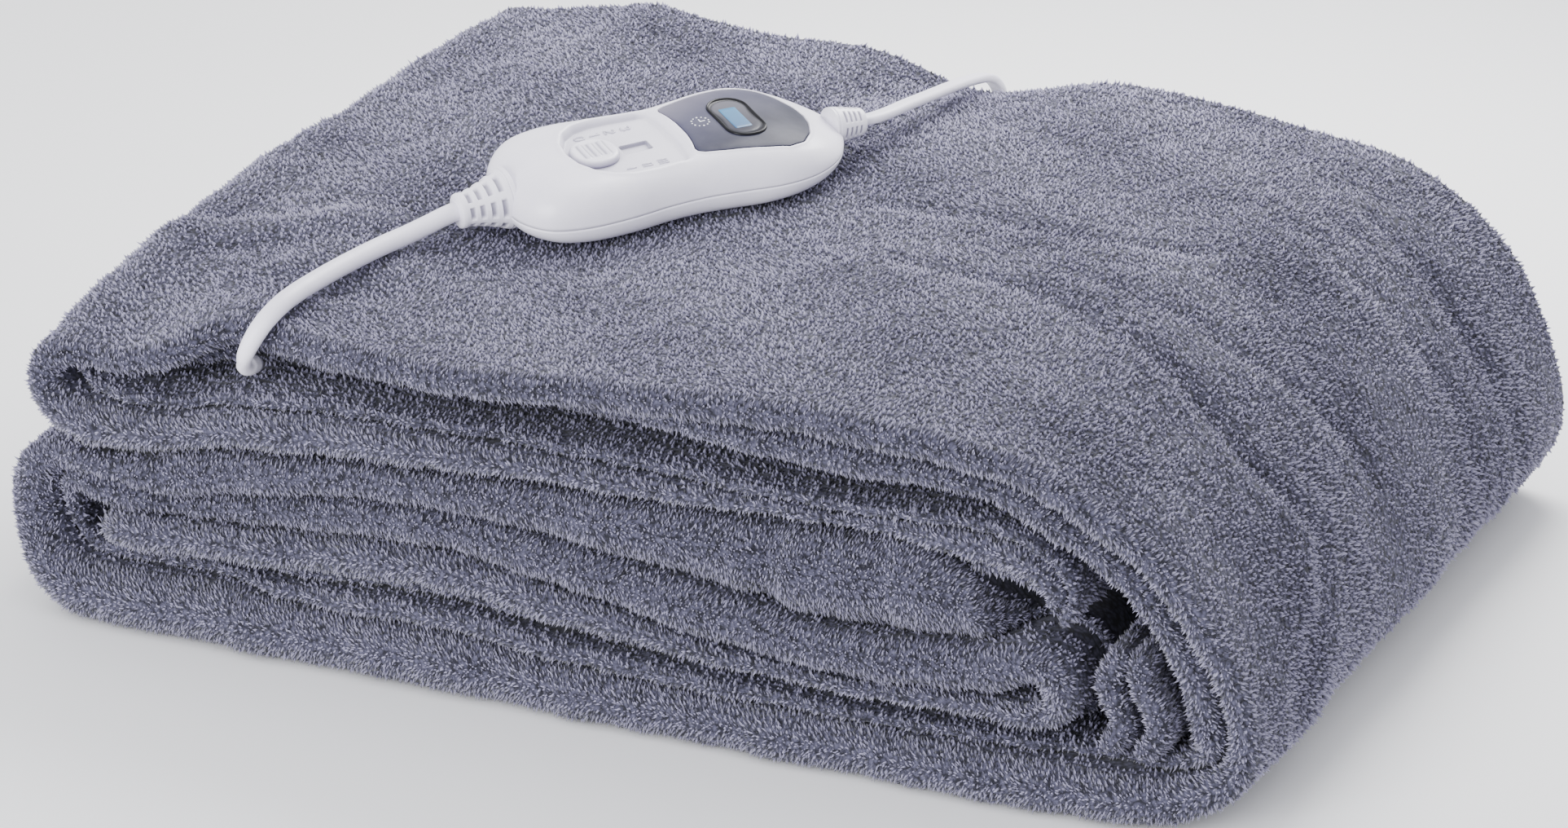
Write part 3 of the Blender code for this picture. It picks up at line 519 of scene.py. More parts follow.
# A tuft's height and its foot's half width in mm, each as the least and the chance part, and its chance lean.
TUFT_HIGH, TUFT_WIDE, TUFT_LEAN = (0.8, 0.5), (0.85, 0.35), 0.24
TUFT_FACES = np.array(((0, 1, 3), (1, 2, 3), (2, 0, 3), (2, 1, 0)))
# Six short waves of the curls: lean, length, start.
CURL_WAVES = np.stack([np.arange(6) * math.pi / 6 + CHANCE.random(6) * 0.5, 1.7 + 1.0 * CHANCE.random(6),
                       6.3 * CHANCE.random(6)], 1)


def tuft_sites(points, zone, part):
    """Where the tufts stand: quads of the visible sides, and an evenly spread (u, v) in each.

    A quad has its area over a tuft's area of them, rounded up or down by chance.
    """
    rows, cols = points.shape[:2]
    following = (np.arange(cols) + 1) % cols
    a, b, c = points[:-1], points[:-1][:, following], points[1:]
    area = np.linalg.norm(np.cross(b - a, c - a), axis=-1)
    fold, outer = np.isin(zone, FOLDS), zone == OUTER
    after, before = ~fold & np.roll(fold, 1), ~fold & np.roll(fold, -2) & ~np.roll(fold, -1)
    each = np.select([fold, outer, zone == BACK, after | before],
                     [FOLD_AREA, OUTER_AREA, BACK_AREA, BESIDE_AREA], np.inf)
    each = np.broadcast_to(each, area.shape).copy()
    near = a[..., 1] < FRONT_Y + OPEN_DEPTH
    each[(zone == INNER)[None, :] & near & np.isin(part, INNER_PARTS)[:-1, None]] = OPEN_AREA
    shown = np.isin(part, OUTER_PARTS)[:-1, None] | after[outer] | before[outer]
    each[:, outer] = np.where(shown, each[:, outer], np.inf)
    count = np.floor(area / each + CHANCE.random(area.shape)).astype(int)
    r, k = np.nonzero(count)
    many = count[r, k]
    turn = np.arange(many.sum()) - np.repeat(np.cumsum(many) - many, many)
    r, k = np.repeat(r, many), np.repeat(k, many)
    start = CHANCE.random((rows - 1, cols, 2))[r, k]
    u, v = ((start + turn[:, None] * SPREAD) % 1).T
    deep = np.where(after[k], u, np.where(before[k], 1 - u, 0)) > 0.5
    keep = ~deep | np.isin(zone[k], (OUTER, INNER))
    return r[keep], k[keep], following[k][keep], u[keep], v[keep]


def spread_over(table, r, k, n, u, v):
    """A grid's values at these quads' (u, v): mixed from the four corners."""
    u, v = u[:, None], v[:, None]
    return (table[r, k] * (1 - u) * (1 - v) + table[r, n] * u * (1 - v)
            + table[r + 1, k] * (1 - u) * v + table[r + 1, n] * u * v)


def kept_clear(tips):
    """Which tips stay out of the controller and out of the leads."""
    local = (tips - BODY_AT) @ controller_axes().T
    reach = np.hypot(local[:, 0], local[:, 1])
    clear = (reach >= plan_reach(np.arctan2(local[:, 1], local[:, 0])) + 0.2) | (local[:, 2] <= -0.3)
    for route, radius in ((LEAD_ROUTE, 3.2), (MAINS_ROUTE, 2.6)):
        line = smooth_line(route, 3.0)
        low, high = line.min(0) - 5, line.max(0) + 5
        near = np.nonzero(((tips > low) & (tips < high)).all(1))[0]
        far = np.linalg.norm(tips[near, None] - line, axis=-1).min(1)
        clear[near[far < radius]] = False
    return clear


def curls(s, t):
    """How curly pile bunches, from -1 in the pits to 1 on the curls: the sum of CURL_WAVES."""
    out = np.zeros(len(s))
    for turn, wide, shift in CURL_WAVES:
        out += np.cos(2 * math.pi * (s * math.cos(turn) + t * math.sin(turn)) / wide + shift)
    return np.clip(out * 0.5, -1, 1)


def tuft_shapes(along, part, points, zone, outward):
    """Foot, upright, tip, curl and share on a front fold of each tuft.

    A tuft leans by a slow drift, or on a front fold is combed along and round it, and by a little chance.
    """
    r, k, n, u, v = tuft_sites(points, zone, part)
    count = len(r)
    foot = spread_over(points, r, k, n, u, v)
    up = unit(spread_over(outward, r, k, n, u, v))
    s = along[r] + (along[r + 1] - along[r]) * v
    across = np.cumsum(np.linalg.norm(np.diff(points, axis=1, prepend=points[:, :1]), axis=-1), axis=1)
    curl = curls(s, spread_over(across[..., None], r, k, np.maximum(n, k), u, v)[:, 0])
    fold = np.isin(zone[k], FOLDS).astype(float)[:, None]
    high = ((TUFT_HIGH[0] + TUFT_HIGH[1] * CHANCE.random(count)) * (1 + 0.55 * curl))[:, None]
    x, y = foot[:, 0], foot[:, 1]
    drift = np.stack([np.sin(x / 13 + y / 29) + np.sin(y / 9 - x / 23), np.cos(y / 15 + x / 21) - 0.4,
                      np.full(count, -0.3)], 1) * 0.22
    path = unit(spread_over(np.gradient(points, axis=0), r, k, n, u, v))
    round_it = np.cross(up, path)
    round_it *= np.sign(round_it[:, 2:] * up[:, 2:]) * np.clip(np.abs(up[:, 2:]) * 2.5, 0, 1)
    comb = round_it + path * (0.6 + 0.5 * slow(s, 31, 1.0))[:, None]
    lean = drift * high * (1 - fold) + comb * fold + CHANCE.normal(0, TUFT_LEAN, (count, 3)) * high
    tips = foot + up * high + lean
    tips[:, 2] = np.maximum(tips[:, 2], 0.4)
    keep = kept_clear(tips)
    return foot[keep], up[keep], tips[keep], curl[keep], fold[keep, 0]


def pile(name, *cloth):
    """The fleece's pile on this cloth: closed three-sided tufts, PILE_PIECE of them to a piece."""
    foot, up, tips, curl, fold = tuft_shapes(*cloth)
    count = len(foot)
    side = unit(np.cross(up, CHANCE.normal(0, 1, (count, 3))))
    wide = ((TUFT_WIDE[0] + TUFT_WIDE[1] * CHANCE.random(count)) * (1 - 0.3 * fold))[:, None, None]
    turn = circle(3)[None, :, None]
    ring = np.cos(turn) * side[:, None] + np.sin(turn) * np.cross(up, side)[:, None]
    base = (foot - 0.3 * up)[:, None] + wide * ring
    base[..., 2] = np.maximum(base[..., 2], 0.3)
    corners = np.concatenate([base, tips[:, None]], 1)
    # Painted shade: tufts in the pits between curls darker, and each lighter or darker by chance.
    shade = np.clip(0.5 + 0.6 * curl + CHANCE.normal(0, 0.16, count), 0, 1)
    pieces = []
    for start in range(0, count, PILE_PIECE):
        some = corners[start:start + PILE_PIECE]
        faces = 4 * np.arange(len(some))[:, None, None] + TUFT_FACES
        piece = new_piece(f"{name}_{len(pieces) + 1}", to_world(some.reshape(-1, 3)), [faces.reshape(-1, 3)],
                          fleece_finish(), slot="fleece")
        # 0 at a tuft's foot and 1 at its tip: the finish paints shade towards the foot.
        marked(piece, "tip", np.tile((0, 0, 0, 1), len(some)))
        marked(piece, "shade", np.repeat(shade[start:start + PILE_PIECE], 4))
        pieces.append(piece)
    return pieces


# Bunched plies in the hollow of the big turn: the middle line's x and z, half the thickness, the front's y.
BUNCHES = (
    (((138, 85), (148, 84), (158, 82.5), (167, 79)), 3.8, -178.0),
    (((187, 27), (193, 33), (191.5, 41), (187.5, 48), (190, 56), (194, 62)), 4.3, -179.5),
    (((200, 27), (206, 34), (205, 43), (200.5, 50), (199, 57), (201, 63)), 4.0, -181.0),
)
BUNCH_PITCH = 1.2  # between its rows
BUNCH_DEPTHS = (45, 25)  # how far its flat sides reach behind its front


def bunched_ply(name, line, half, front):
    """A ply standing on edge in the hollow: a slab with a half-round front, carried along its middle line."""
    line = smooth_line(line, BUNCH_PITCH)
    way = np.gradient(line, axis=0)
    normal = np.stack([-way[:, 1], way[:, 0]], 1) / np.linalg.norm(way, axis=1)[:, None]
    a = np.linspace(0, math.pi, 14)
    sides = front + np.array(BUNCH_DEPTHS)
    y = np.concatenate([sides, front + half - half * np.sin(a), sides[::-1]])
    w = np.concatenate([[1, 1], np.cos(a), [-1, -1]]) * half
    share = np.linspace(0, 1, len(line))
    w = w[None, :] * np.sqrt(np.clip(1 - (2 * share - 1) ** 8, 0.04, 1))[:, None]
    points = np.stack([line[:, :1] + normal[:, :1] * w, np.broadcast_to(y, w.shape),
                       line[:, 1:] + normal[:, 1:] * w], -1)
    rows, cols = w.shape
    outward = grid_normals(points)
    if outward[:, cols // 2, 1].mean() > 0:
        outward = -outward
    # Its finish paints it the dark shade that lies under the pile.
    piece = solid(name, points, fleece_finish(), slot="fleece")
    along, zone = np.linspace(0, len(line) * BUNCH_PITCH, rows), np.full(cols, FOLD_OUT)
    return [piece, *pile(name + "_pile", along, np.zeros(rows, int), points, zone, outward)]


def blanket():
    """The sheet's ground, sunk by PILE_INSET under its visible sides, and its pile."""
    along, part, points, zone, outward = cloth_surface()
    sunk = np.where(np.isin(zone, (OUTER, BACK, *FOLDS)), PILE_INSET, 0.0)
    sunk = (sunk + np.roll(sunk, 1) + np.roll(sunk, -1)) / 3
    ground = points - outward * sunk[None, :, None]
    ground[..., 2] = np.maximum(ground[..., 2], 0)
    flat, faces = lathe(ground)
    faces = [f[:, ::-1] for f in faces]
    # The ground carries no marks, so its finish paints it the dark shade that lies under the pile.
    piece = new_piece("fleece_sheet", to_world(flat), faces, fleece_finish(), slot="fleece")
    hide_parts("blanket")
    tufts = pile("pile", along, part, ground, zone, outward)
    for number, bunch in enumerate(BUNCHES):
        tufts += bunched_ply(f"bunched_ply_{number + 1}", *bunch)


# ---- the controller -------------------------------------------------------------------------------------
# Its own frame: p along it, q across it, and height above its underside.
TIP, TURN = math.radians(9.0), math.radians(26.0)  # tipped away from the viewer, and turned over the top
BODY_AT = np.array((-54.8, -14.5, 130.0))
PLAN = ((-62.5, 0), (-62.6, 7), (-61.8, 14), (-58.8, 20.5), (-53.5, 25.8), (-46, 28.6), (-37, 29.8),
        (-23, 29.4), (-8, 27.6), (6, 27.4), (20, 29), (34, 31), (46, 30), (56, 25.8), (63.5, 19), (69, 8.5),
        (69.3, 0))
PARTING, HALF_GAP = 9.0, 0.06
# The crown of the upper shell along it, and how late it rolls over to the parting line: p, height, power.
CROWN = ((-67, 22.6, 14), (-47, 23.4, 12), (-35, 23.4, 10), (-17, 23.0, 8), (0, 22.9, 7), (28, 22.9, 7),
         (38, 22.3, 7), (47, 20.9, 7), (55, 18.8, 7), (62, 16.5, 7), (69.3, 14.5, 7))
PANEL_EDGE = ((9.0, 0), (8.9, 5), (8.2, 10.5), (6.9, 15.6), (7.4, 17.2), (9.5, 18.4), (17, 20.4), (25, 22.0),
              (33, 23.4), (40.5, 23.8), (47, 21.2), (52.5, 14.5), (56, 6), (57, 0))
RECESS_EDGE = ((5.0, 0), (5.0, 8), (4.2, 15), (3.0, 18.2), (0, 19.4), (-10, 20.4), (-19, 20.6), (-26, 18.8),
               (-31.5, 14.6), (-35, 8), (-36.2, 0))
RECESS_FLOOR, SLOT = 19.9, (-15.0, -4.2, -3.3, 2.9)  # rectangles are p from and to, q from and to
KNOB, KNOB_TOP, KNOB_EDGE, RIDGE_PITCH = (-34.6, -17.0, -9.4, 9.0), 22.7, 1.5, 3.9
BEZEL, LCD = (22.5, 38.2, -15.0, 14.8), (26.2, 32.8, -8.6, 6.8)
# The display frame's section: how far inside its outline, and how high over the dome.
FRAME_SECTION = ((0, -0.3), (0, 0.25), (0.2, 0.6), (0.5, 0.75), (0.85, 0.7), (1.15, 0.45), (1.3, 0.25),
                 (1.6, 0.2), (3, 0.22), (5, 0.24))
FRAME_RIM = 9  # rings of it that belong to the black rim
# The clock mark: its middle, the ring of dots' radius, and the ends of its hands.
RING_AT, RING_R, HANDS = np.array((16.9, 1.8)), 3.2, ((18.6, 1.9), (16.9, 3.3))


def controller_axes():
    """The controller's long axis, wide axis and upright in the stack's axes."""
    cos, sin = math.cos(VIEW_AZIMUTH), math.sin(VIEW_AZIMUTH)
    across = np.array((cos, sin, 0))
    away = np.array((-sin * math.cos(TIP), cos * math.cos(TIP), math.sin(TIP)))
    long_axis = across * math.cos(TURN) + away * math.sin(TURN)
    wide_axis = away * math.cos(TURN) - across * math.sin(TURN)
    return np.array([long_axis, wide_axis, np.cross(long_axis, wide_axis)])


def place(points):
    """Points of the controller's frame in the stack's axes."""
    return np.asarray(points, float) @ controller_axes() + BODY_AT


def plan_reach(angle):
    """Distance of the parting line from the body's middle at each angle: PLAN, smoothly between its rows."""
    station = np.arange(len(PLAN), dtype=float)
    dense = smooth_table(station, PLAN, np.linspace(0, station[-1], 400))[::-1]
    return np.interp(np.abs(angle), np.arctan2(dense[:, 1], dense[:, 0]), np.hypot(*dense.T))


def body_top(p, q):
    """Height of the upper shell: CROWN along p, less a high power of the share of the way to the parting."""
    reach = np.clip(np.hypot(p, q) / plan_reach(np.arctan2(q, p)), 0, 1)
    station, height, power = np.array(CROWN).T
    height = smooth_table(station, height, np.ravel(p)).reshape(np.shape(p))
    return PARTING + (height - PARTING) * np.sqrt(1 - reach ** np.interp(p, station, power))


def mirrored(edge):
    """A closed outline from its half with q from zero up."""
    edge = np.array(edge, float)
    return np.concatenate([edge, edge[-2:0:-1] * (1, -1)])


def rounded(p0, p1, q0, q1, radius, steps=8):
    """Outline of a rectangle with round corners."""
    a = np.linspace(0, math.pi / 2, steps + 1)
    p0, p1, q0, q1 = p0 + radius, p1 - radius, q0 + radius, q1 - radius
    corners = ((p1, q1, 0), (p0, q1, 1), (p0, q0, 2), (p1, q0, 3))
    turns = [a + k * math.pi / 2 for _, _, k in corners]
    return np.concatenate([(p, q) + radius * np.stack([np.cos(turn), np.sin(turn)], 1)
                           for (p, q, _), turn in zip(corners, turns)])


def resampled(outline, count):
    """The closed outline at an even pitch, with its corners slightly eased."""
    ring = np.concatenate([outline, outline[:1]])
    along = np.concatenate([[0], np.cumsum(np.linalg.norm(np.diff(ring, axis=0), axis=1))])
    at = np.linspace(0, along[-1], count, endpoint=False)
    return np.stack([np.interp(at, along, ring[:, k]) for k in (0, 1)], 1)


def depth_inside(p, q, outline):
    """How far (p, q) lies inside a closed outline, less than zero outside, told by crossed edges."""
    far = line_distance(p, q, np.concatenate([outline, outline[:1]]))
    p, q = p[..., None], q[..., None]
    a, b = outline, np.roll(outline, -1, axis=0)
    over = (a[:, 1] > q) != (b[:, 1] > q)
    rise = np.where(b[:, 1] == a[:, 1], 1, b[:, 1] - a[:, 1])
    crossed = over & (p < a[:, 0] + (b[:, 0] - a[:, 0]) * (q - a[:, 1]) / rise)
    return np.where(crossed.sum(-1) % 2 == 1, far, -far)


def on_dome(pq, height):
    """Points (p, q) at this height over the upper shell."""
    return np.column_stack([pq, body_top(pq[:, 0], pq[:, 1]) + height])


def level(pq, height):
    """Points (p, q) at this height, or at these heights, in the controller's frame."""
    return np.column_stack([pq, np.full(len(pq), height)])


def spokes(outline):
    """The outline's middle, the way from there to each of its points, and how far that is."""
    middle = outline.mean(axis=0)
    way = outline - middle
    return middle, way, np.linalg.norm(way, axis=1)[:, None]


def bell(far, at, wide):
    """exp(-((far - at) / wide)^2): 1 at one distance and soft to both sides."""
    return np.exp(-((far - at) / wide) ** 2)


def controller_piece(name, rings, finish, replaces, slot, body=BODY, painted_shade_and_rim=None):
    """A closed piece of the controller through rings of (p, q, height), with its plan kept as a UV map.

    The last argument gives each ring, or each of its points, a value between 0 and 1 for the finish to read:
    painted shade on the white pieces, and the black rim on the display's frame.
    """
    points, faces = lathe(rings)
    faces = turned_out(place(points), faces)
    piece = new_piece(name, to_world(place(points)), faces, finish, body, slot=slot)
    plan = piece.data.uv_layers.new(name="plan")
    corner = np.concatenate([f.ravel() for f in faces])
    plan.data.foreach_set("uv", (points[corner, :2] / 100 + 0.5).astype(np.float32).ravel())
    if painted_shade_and_rim is not None:
        # Painted shade on the white pieces, the black rim on the display's frame.
        marked(piece, "painted_shade_and_rim", np.broadcast_to(painted_shade_and_rim, np.shape(rings)[:2]))
    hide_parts(replaces)


def upper_shell():
    """The dome on a polar grid, sunk to the floor of the slider's recess and a little under the panel."""
    angle = circle(360, -math.pi)
    share = np.concatenate([np.linspace(0.01, 0.86, 150), 1 - 0.14 * np.linspace(1, 0, 15)[1:] ** 2])[:, None]
    p, q = (share * plan_reach(angle) * turn for turn in (np.cos(angle), np.sin(angle)))
    h = np.maximum(body_top(p, q), PARTING + HALF_GAP)
    inside = depth_inside(p, q, resampled(mirrored(RECESS_EDGE), 160))
    right = ease(p, -2, 4)  # the wall next to the panel is a broad slope
    slot = depth_inside(p, q, rounded(*SLOT, 0.4, 3))
    floor = RECESS_FLOOR - 1.4 * ease(slot, -0.05, 0.3)
    h = h + (floor - h) * ease(inside, -0.7 - 1.6 * right, 0.9 + 0.9 * right)
    h = h + 0.35 * bell(inside, -1.6 - 0.9 * right, 1.1) * (1 - right)
    panel = depth_inside(p, q, resampled(mirrored(PANEL_EDGE), 200))
    h = h + 0.30 * bell(panel, -0.9, 0.55) - 0.9 * ease(panel, -0.55, 0.1)
    edge = np.stack([p[-1], q[-1]], 1)
    under = [level(edge * k, PARTING + HALF_GAP) for k in (0.985, 0.5, 0.01)]
    # Painted shade: dark lines at the slot's edges, a greyer slot and recess floor, a darker foot of the
    # recess wall, and a dark line round the panel.
    painted_shades = (0.9 * bell(slot, 0.15, 0.4), 0.2 * ease(slot, 0, 0.3), 0.16 * ease(inside, -0.5, 0.8),
             (0.5 - 0.3 * right) * bell(inside, 0.5, 0.7), 0.7 * bell(panel, -0.1, 0.3))
    painted_shade_and_rim = np.concatenate([np.maximum.reduce(painted_shades), np.zeros((len(under), len(angle)))])
    rings = [*np.stack([p, q, h], -1), *under]
    controller_piece("upper_shell", rings, shell_finish(), "controller_upper", "white_shell", painted_shade_and_rim=painted_shade_and_rim)


def lower_shell():
    """The lower half: the plan drawn in by a quarter ellipse towards its flat underside."""
    angle = circle(264, -math.pi)
    edge = plan_reach(angle)[:, None] * round_box(angle, 1)
    turn = np.linspace(0, math.pi / 2, 16)
    top = PARTING - HALF_GAP
    share = np.concatenate([[0.01, 0.4], 0.74 + 0.26 * np.sin(turn), [0.985, 0.01]])
    height = np.concatenate([[0, 0], top * (1 - np.cos(turn)), [top, top]])
    rings = [level(edge * k, z) for k, z in zip(share, height)]
    controller_piece("lower_shell", rings, shell_finish(), "controller_lower", "lower_shell")


def domed_plate(outline, low, high, edge, levels=14):
    """Rings of a plate on the dome inside an outline: flat below, and rounded by edge along its upper rim."""
    middle, way, reach = spokes(outline)
    rings = [on_dome(middle + way * share, low) for share in (0.02, 0.999)]
    for a in np.linspace(0, math.pi / 2, 6):
        pq = middle + way * (1 - edge * (1 - np.cos(a)) / reach)
        rings.append(on_dome(pq, high - edge * (1 - np.sin(a))))
    for share in np.linspace(1, 0.02, levels)[1:]:
        rings.append(on_dome(middle + way * (1 - edge / reach) * share, high))
    return rings


def display():
    """The inlaid panel, the glossy frame with its sunk glass, and the lit window."""
    panel = domed_plate(resampled(mirrored(PANEL_EDGE), 160), -0.85, 0.02, 0.25)
    controller_piece("inlaid_panel", panel, panel_finish(), "display_panel", "slate")
    middle, way, reach = spokes(resampled(rounded(*BEZEL, 7.4), 96))
    rings = [on_dome(middle + way * (1 - inset / reach), height) for inset, height in FRAME_SECTION]
    rings = [on_dome(middle + way * 0.02, -0.3), *rings, on_dome(middle + way * 0.02, 0.25)]
    rim = (np.arange(len(rings)) < FRAME_RIM)[:, None]
    controller_piece("display_frame", rings, glass_finish(), "display_bezel", "bezel", painted_shade_and_rim=rim)
    window = domed_plate(resampled(rounded(*LCD, 0.3, 2), 60), 0.1, 0.34, 0.06, 6)
    controller_piece("lit_window", window, lcd_finish(), "display_lcd", "lcd")


def clock_dots():
    """The clock mark on the panel: a ring of dots and two hands, each a thin flat solid on the dome."""
    disc, outlines = round_box(circle(10), 1), []
    for k, at in enumerate(RING_AT + RING_R * round_box(circle(12), 1)):
        outlines.append(at + disc * (0.28 + 0.07 * (k % 2)))
    for end in np.array(HANDS):
        way = 0.2 * (end - RING_AT) / np.linalg.norm(end - RING_AT)
        side = np.array((-way[1], way[0]))
        low, high = RING_AT - way, end + way
        outlines.append(np.array([low - side, high - side, high + side, low + side]))
    points, faces = joined([[on_dome(pq, height) for height in (-0.05, 0.09)] for pq in outlines])
    points = place(points)
    faces, white = turned_out(points, faces), finish("white_print", (0.82, 0.83, 0.87), 0.5)
    new_piece("clock_dots", to_world(points), faces, white, slot="white_shell", smooth=False)


# Strokes of the raised marks: each numeral stands along p, its strokes as rows of (p, q) from its middle.
MARKS = (
    (-25.3, 14.0, (((-1.9, 0), (-1.5, 0.8), (0, 1.1), (1.5, 0.8), (1.9, 0), (1.5, -0.8), (0, -1.1),
                    (-1.5, -0.8), (-1.9, 0)),)),
    (-19.3, 14.0, (((-1.9, 0), (1.9, 0), (1.1, 0.8)),)),
    (-13.3, 14.0, (((1.2, 1.0), (1.8, 0.4), (1.7, -0.6), (0.8, -1.0), (-0.4, 0), (-1.9, 1.1),
                    (-1.9, -1.1)),)),
    (-7.2, 14.0, (((1.3, 1.0), (1.8, 0), (1.2, -0.9), (0.3, -0.6), (0.1, 0.2), (0, -0.6), (-0.8, -1.1),
                   (-1.8, -0.4), (-1.5, 0.9)),)),
    (-17.4, -14.0, (((-1.8, 0), (1.8, 0)),)),
    (-11.3, -14.0, (((-1.8, 0.6), (1.8, 0.6)), ((-1.8, -0.6), (1.8, -0.6)))),
    (-5.2, -14.0, (((-1.8, 1.1), (1.8, 1.1)), ((-1.8, 0), (1.8, 0)), ((-1.8, -1.1), (1.8, -1.1)))),
)


def raised_marks():
    """The numbers beside the slider: each stroke a half-round bead laid on the recess's floor."""
    shapes, angle = [], circle(8)
    for at_p, at_q, strokes in MARKS:
        for stroke in strokes:
            line = np.array(stroke, float) * (1.0, 1.15) + (at_p, at_q)
            way = np.gradient(line, axis=0)
            side = np.stack([-way[:, 1], way[:, 0]], 1) / np.linalg.norm(way, axis=1)[:, None]
            ring = line[:, None] + side[:, None] * (0.38 * np.cos(angle))[None, :, None]
            height = np.broadcast_to(RECESS_FLOOR + 0.5 * np.sin(angle), ring.shape[:2])
            shapes.append(np.concatenate([ring, height[..., None]], -1))
    points, faces = joined(shapes)
    points = place(points)
    piece = new_piece("raised_numbers", to_world(points), turned_out(points, faces), shell_finish(),
                      slot="white_shell")
    # Painted shade: each bead greyer all over, and greyer still away from its crown.
    marked(piece, "painted_shade_and_rim", np.tile(0.35 + 0.35 * (np.sin(angle) < 0.5), len(points) // len(angle)))


def knob():
    """The heat selector: a rounded oval with three ridges lying across it, on the recess's floor."""
    outline = resampled(rounded(*KNOB, 8.3, 12), 120)
    middle, way, reach = spokes(outline)
    foot = RECESS_FLOOR + 0.25
    # Painted shade: the knob's foot ring darkest, and its rounded rim darker towards the foot.
    rings, painted_shade_and_rim = [level(middle + way * 0.01, foot), level(outline, foot)], [np.zeros(120), np.ones(120)]
    for a in np.linspace(0, math.pi / 2, 7):
        pq = middle + way * (1 - KNOB_EDGE * (1 - np.cos(a)) / reach)
        rings.append(level(pq, KNOB_TOP - KNOB_EDGE * (1 - np.sin(a))))
        painted_shade_and_rim.append(np.full(120, 0.7 * math.cos(a) ** 2))
    for share in np.linspace(1, 0.01, 40)[1:]:
        pq = middle + way * (1 - KNOB_EDGE / reach) * share
        p, q = pq.T - middle[:, None]
        ridge = sum(bell(p, k * RIDGE_PITCH, 0.62) for k in (-1, 0, 1))
        # Painted shade in the grooves beside the ridges.
        groove = sum(bell(np.abs(p - k * RIDGE_PITCH), 1.1, 0.45) for k in (-1, 0, 1))
        ends = ease(5.6 - np.abs(q - 0.3), 0, 1.2)
        rings.append(level(pq, KNOB_TOP - 0.35 * (1 - share**2) + 0.9 * ridge * ends))
        painted_shade_and_rim.append(0.62 * np.clip(groove, 0, 1) * ends)
    controller_piece("heat_knob", rings, shell_finish(), "slider_knob", "white_shell", body=SLIDER, painted_shade_and_rim=painted_shade_and_rim)


# Strain reliefs: start and end in the controller's frame, radius along it, slot rows as shares of its length.
RELIEFS = {
    "lead_relief": ("relief_lead", (-59.5, 0.5, 11.3), (-79.5, 0, 10.5), (
        (0, 11.2), (0.07, 11.2), (0.1, 11.1), (0.3, 9.4), (0.5, 8.0), (0.7, 6.9), (0.85, 6.4), (0.93, 6.5),
        (0.98, 6.2), (1, 5.4)), (0.24, 0.43, 0.62, 0.8), 0.042, 1.5),
    "mains_relief": ("relief_mains", (67.0, -1.5, 11.0), (80.5, -0.6, 9.4), (
        (0, 6.9), (0.2, 6.7), (0.45, 6.2), (0.7, 5.6), (0.9, 5.2), (0.97, 4.9), (1, 4.2)),
        (0.3, 0.46, 0.62, 0.78), 0.035, 1.0),
}


def strain_relief(name):
    """A tapered sleeve along its axis, with rows of sunk slots that leave six webs round it."""
    node, start, end, taper, rows, half, deep = RELIEFS[name]
    start, end = np.array(start), np.array(end)
    way = unit(end - start)
    side = unit(np.cross(way, (0, 0, 1)))
    up = np.cross(side, way)
    along = np.linspace(0, 1, 110)
    angle = circle(108)
    at, radius = np.array(taper).T
    radius = np.interp(along, at, radius)[:, None]
    slot_row = sum(ease(half + 0.012 - np.abs(along - r), 0, 0.02) for r in rows)[:, None]
    gate = ease(np.cos(6 * angle + 0.9), -0.62, -0.3)[None, :]
    collar = -0.35 * bell(along, 0.085, 0.012)[:, None]
    r = radius + collar - deep * slot_row * gate
    centre = start + (end - start) * along[:, None]
    rings = centre[:, None] + r[..., None] * (np.cos(angle)[:, None] * side + np.sin(angle)[:, None] * up)
    caps = [start + (rings[0] - start) * 0.05, end + (rings[-1] - end) * 0.55]
    # Painted shade in the sunk slots.
    painted_shade_and_rim = 0.55 * np.pad(slot_row * gate, ((1, 1), (0, 0)))
    controller_piece(name, [caps[0], *rings, caps[1]], shell_finish(), node, "white_cord", painted_shade_and_rim=painted_shade_and_rim)


# ---- the leads ------------------------------------------------------------------------------------------
LEAD_ROUTE = ((-101.8, -74.0, 135.2), (-104.8, -78.4, 134.9), (-107.2, -82.2, 133.9), (-110.3, -87.8, 132.4),
              (-114, -95.8, 130.9), (-117.8, -106, 129.9), (-120.8, -119, 129.2), (-122.9, -132, 128.7),
              (-124.4, -145, 128.2), (-125.2, -156, 127.8), (-125.6, -168, 126.6), (-126.5, -172.3, 124.8),
              (-128, -175.6, 121.9), (-129.9, -177.6, 118), (-132, -178, 113.8), (-134.1, -176.8, 109.8),
              (-135.8, -174.1, 106.3), (-137, -170.2, 103.9), (-137.6, -164.5, 102.8))
MAINS_ROUTE = ((-4.6, 45, 145.0), (-1.9, 47.9, 145), (0.4, 51.5, 145.2), (2.1, 56.8, 145.2),
               (2.8, 65.1, 144.5), (2.9, 74.4, 143.4), (3, 85.1, 141.9), (2.7, 96.1, 140.2),
               (1.7, 114.2, 137.1), (0.2, 131.2, 133.7), (-1.2, 145.5, 130.4), (-1.6, 157.2, 127.4),
               (-1.8, 164.2, 124), (-1.9, 169.5, 119.3), (-2, 173.1, 112.9), (-2, 174.6, 105),
               (-2, 174.8, 90), (-2, 175, 74), (-2, 175, 58), (-2, 175.6, 43), (-2, 176.3, 30),
               (-2.1, 178.3, 20.5), (-2.4, 184, 12.6), (-3.0, 193, 6.9), (-4.2, 203, 4.2),
               (-5.7, 214, 3.4), (-7.0, 223, 3.2))
PLUG_ROUTE = ((-62, 273.6, 9.1), (-74, 272.4, 8.0), (-86, 269.6, 7.1), (-98, 266.2, 6.8), (-109, 261.8, 6.8),
              (-119, 258.7, 6.8), (-127, 258, 6.8), (-131, 258, 6.8))
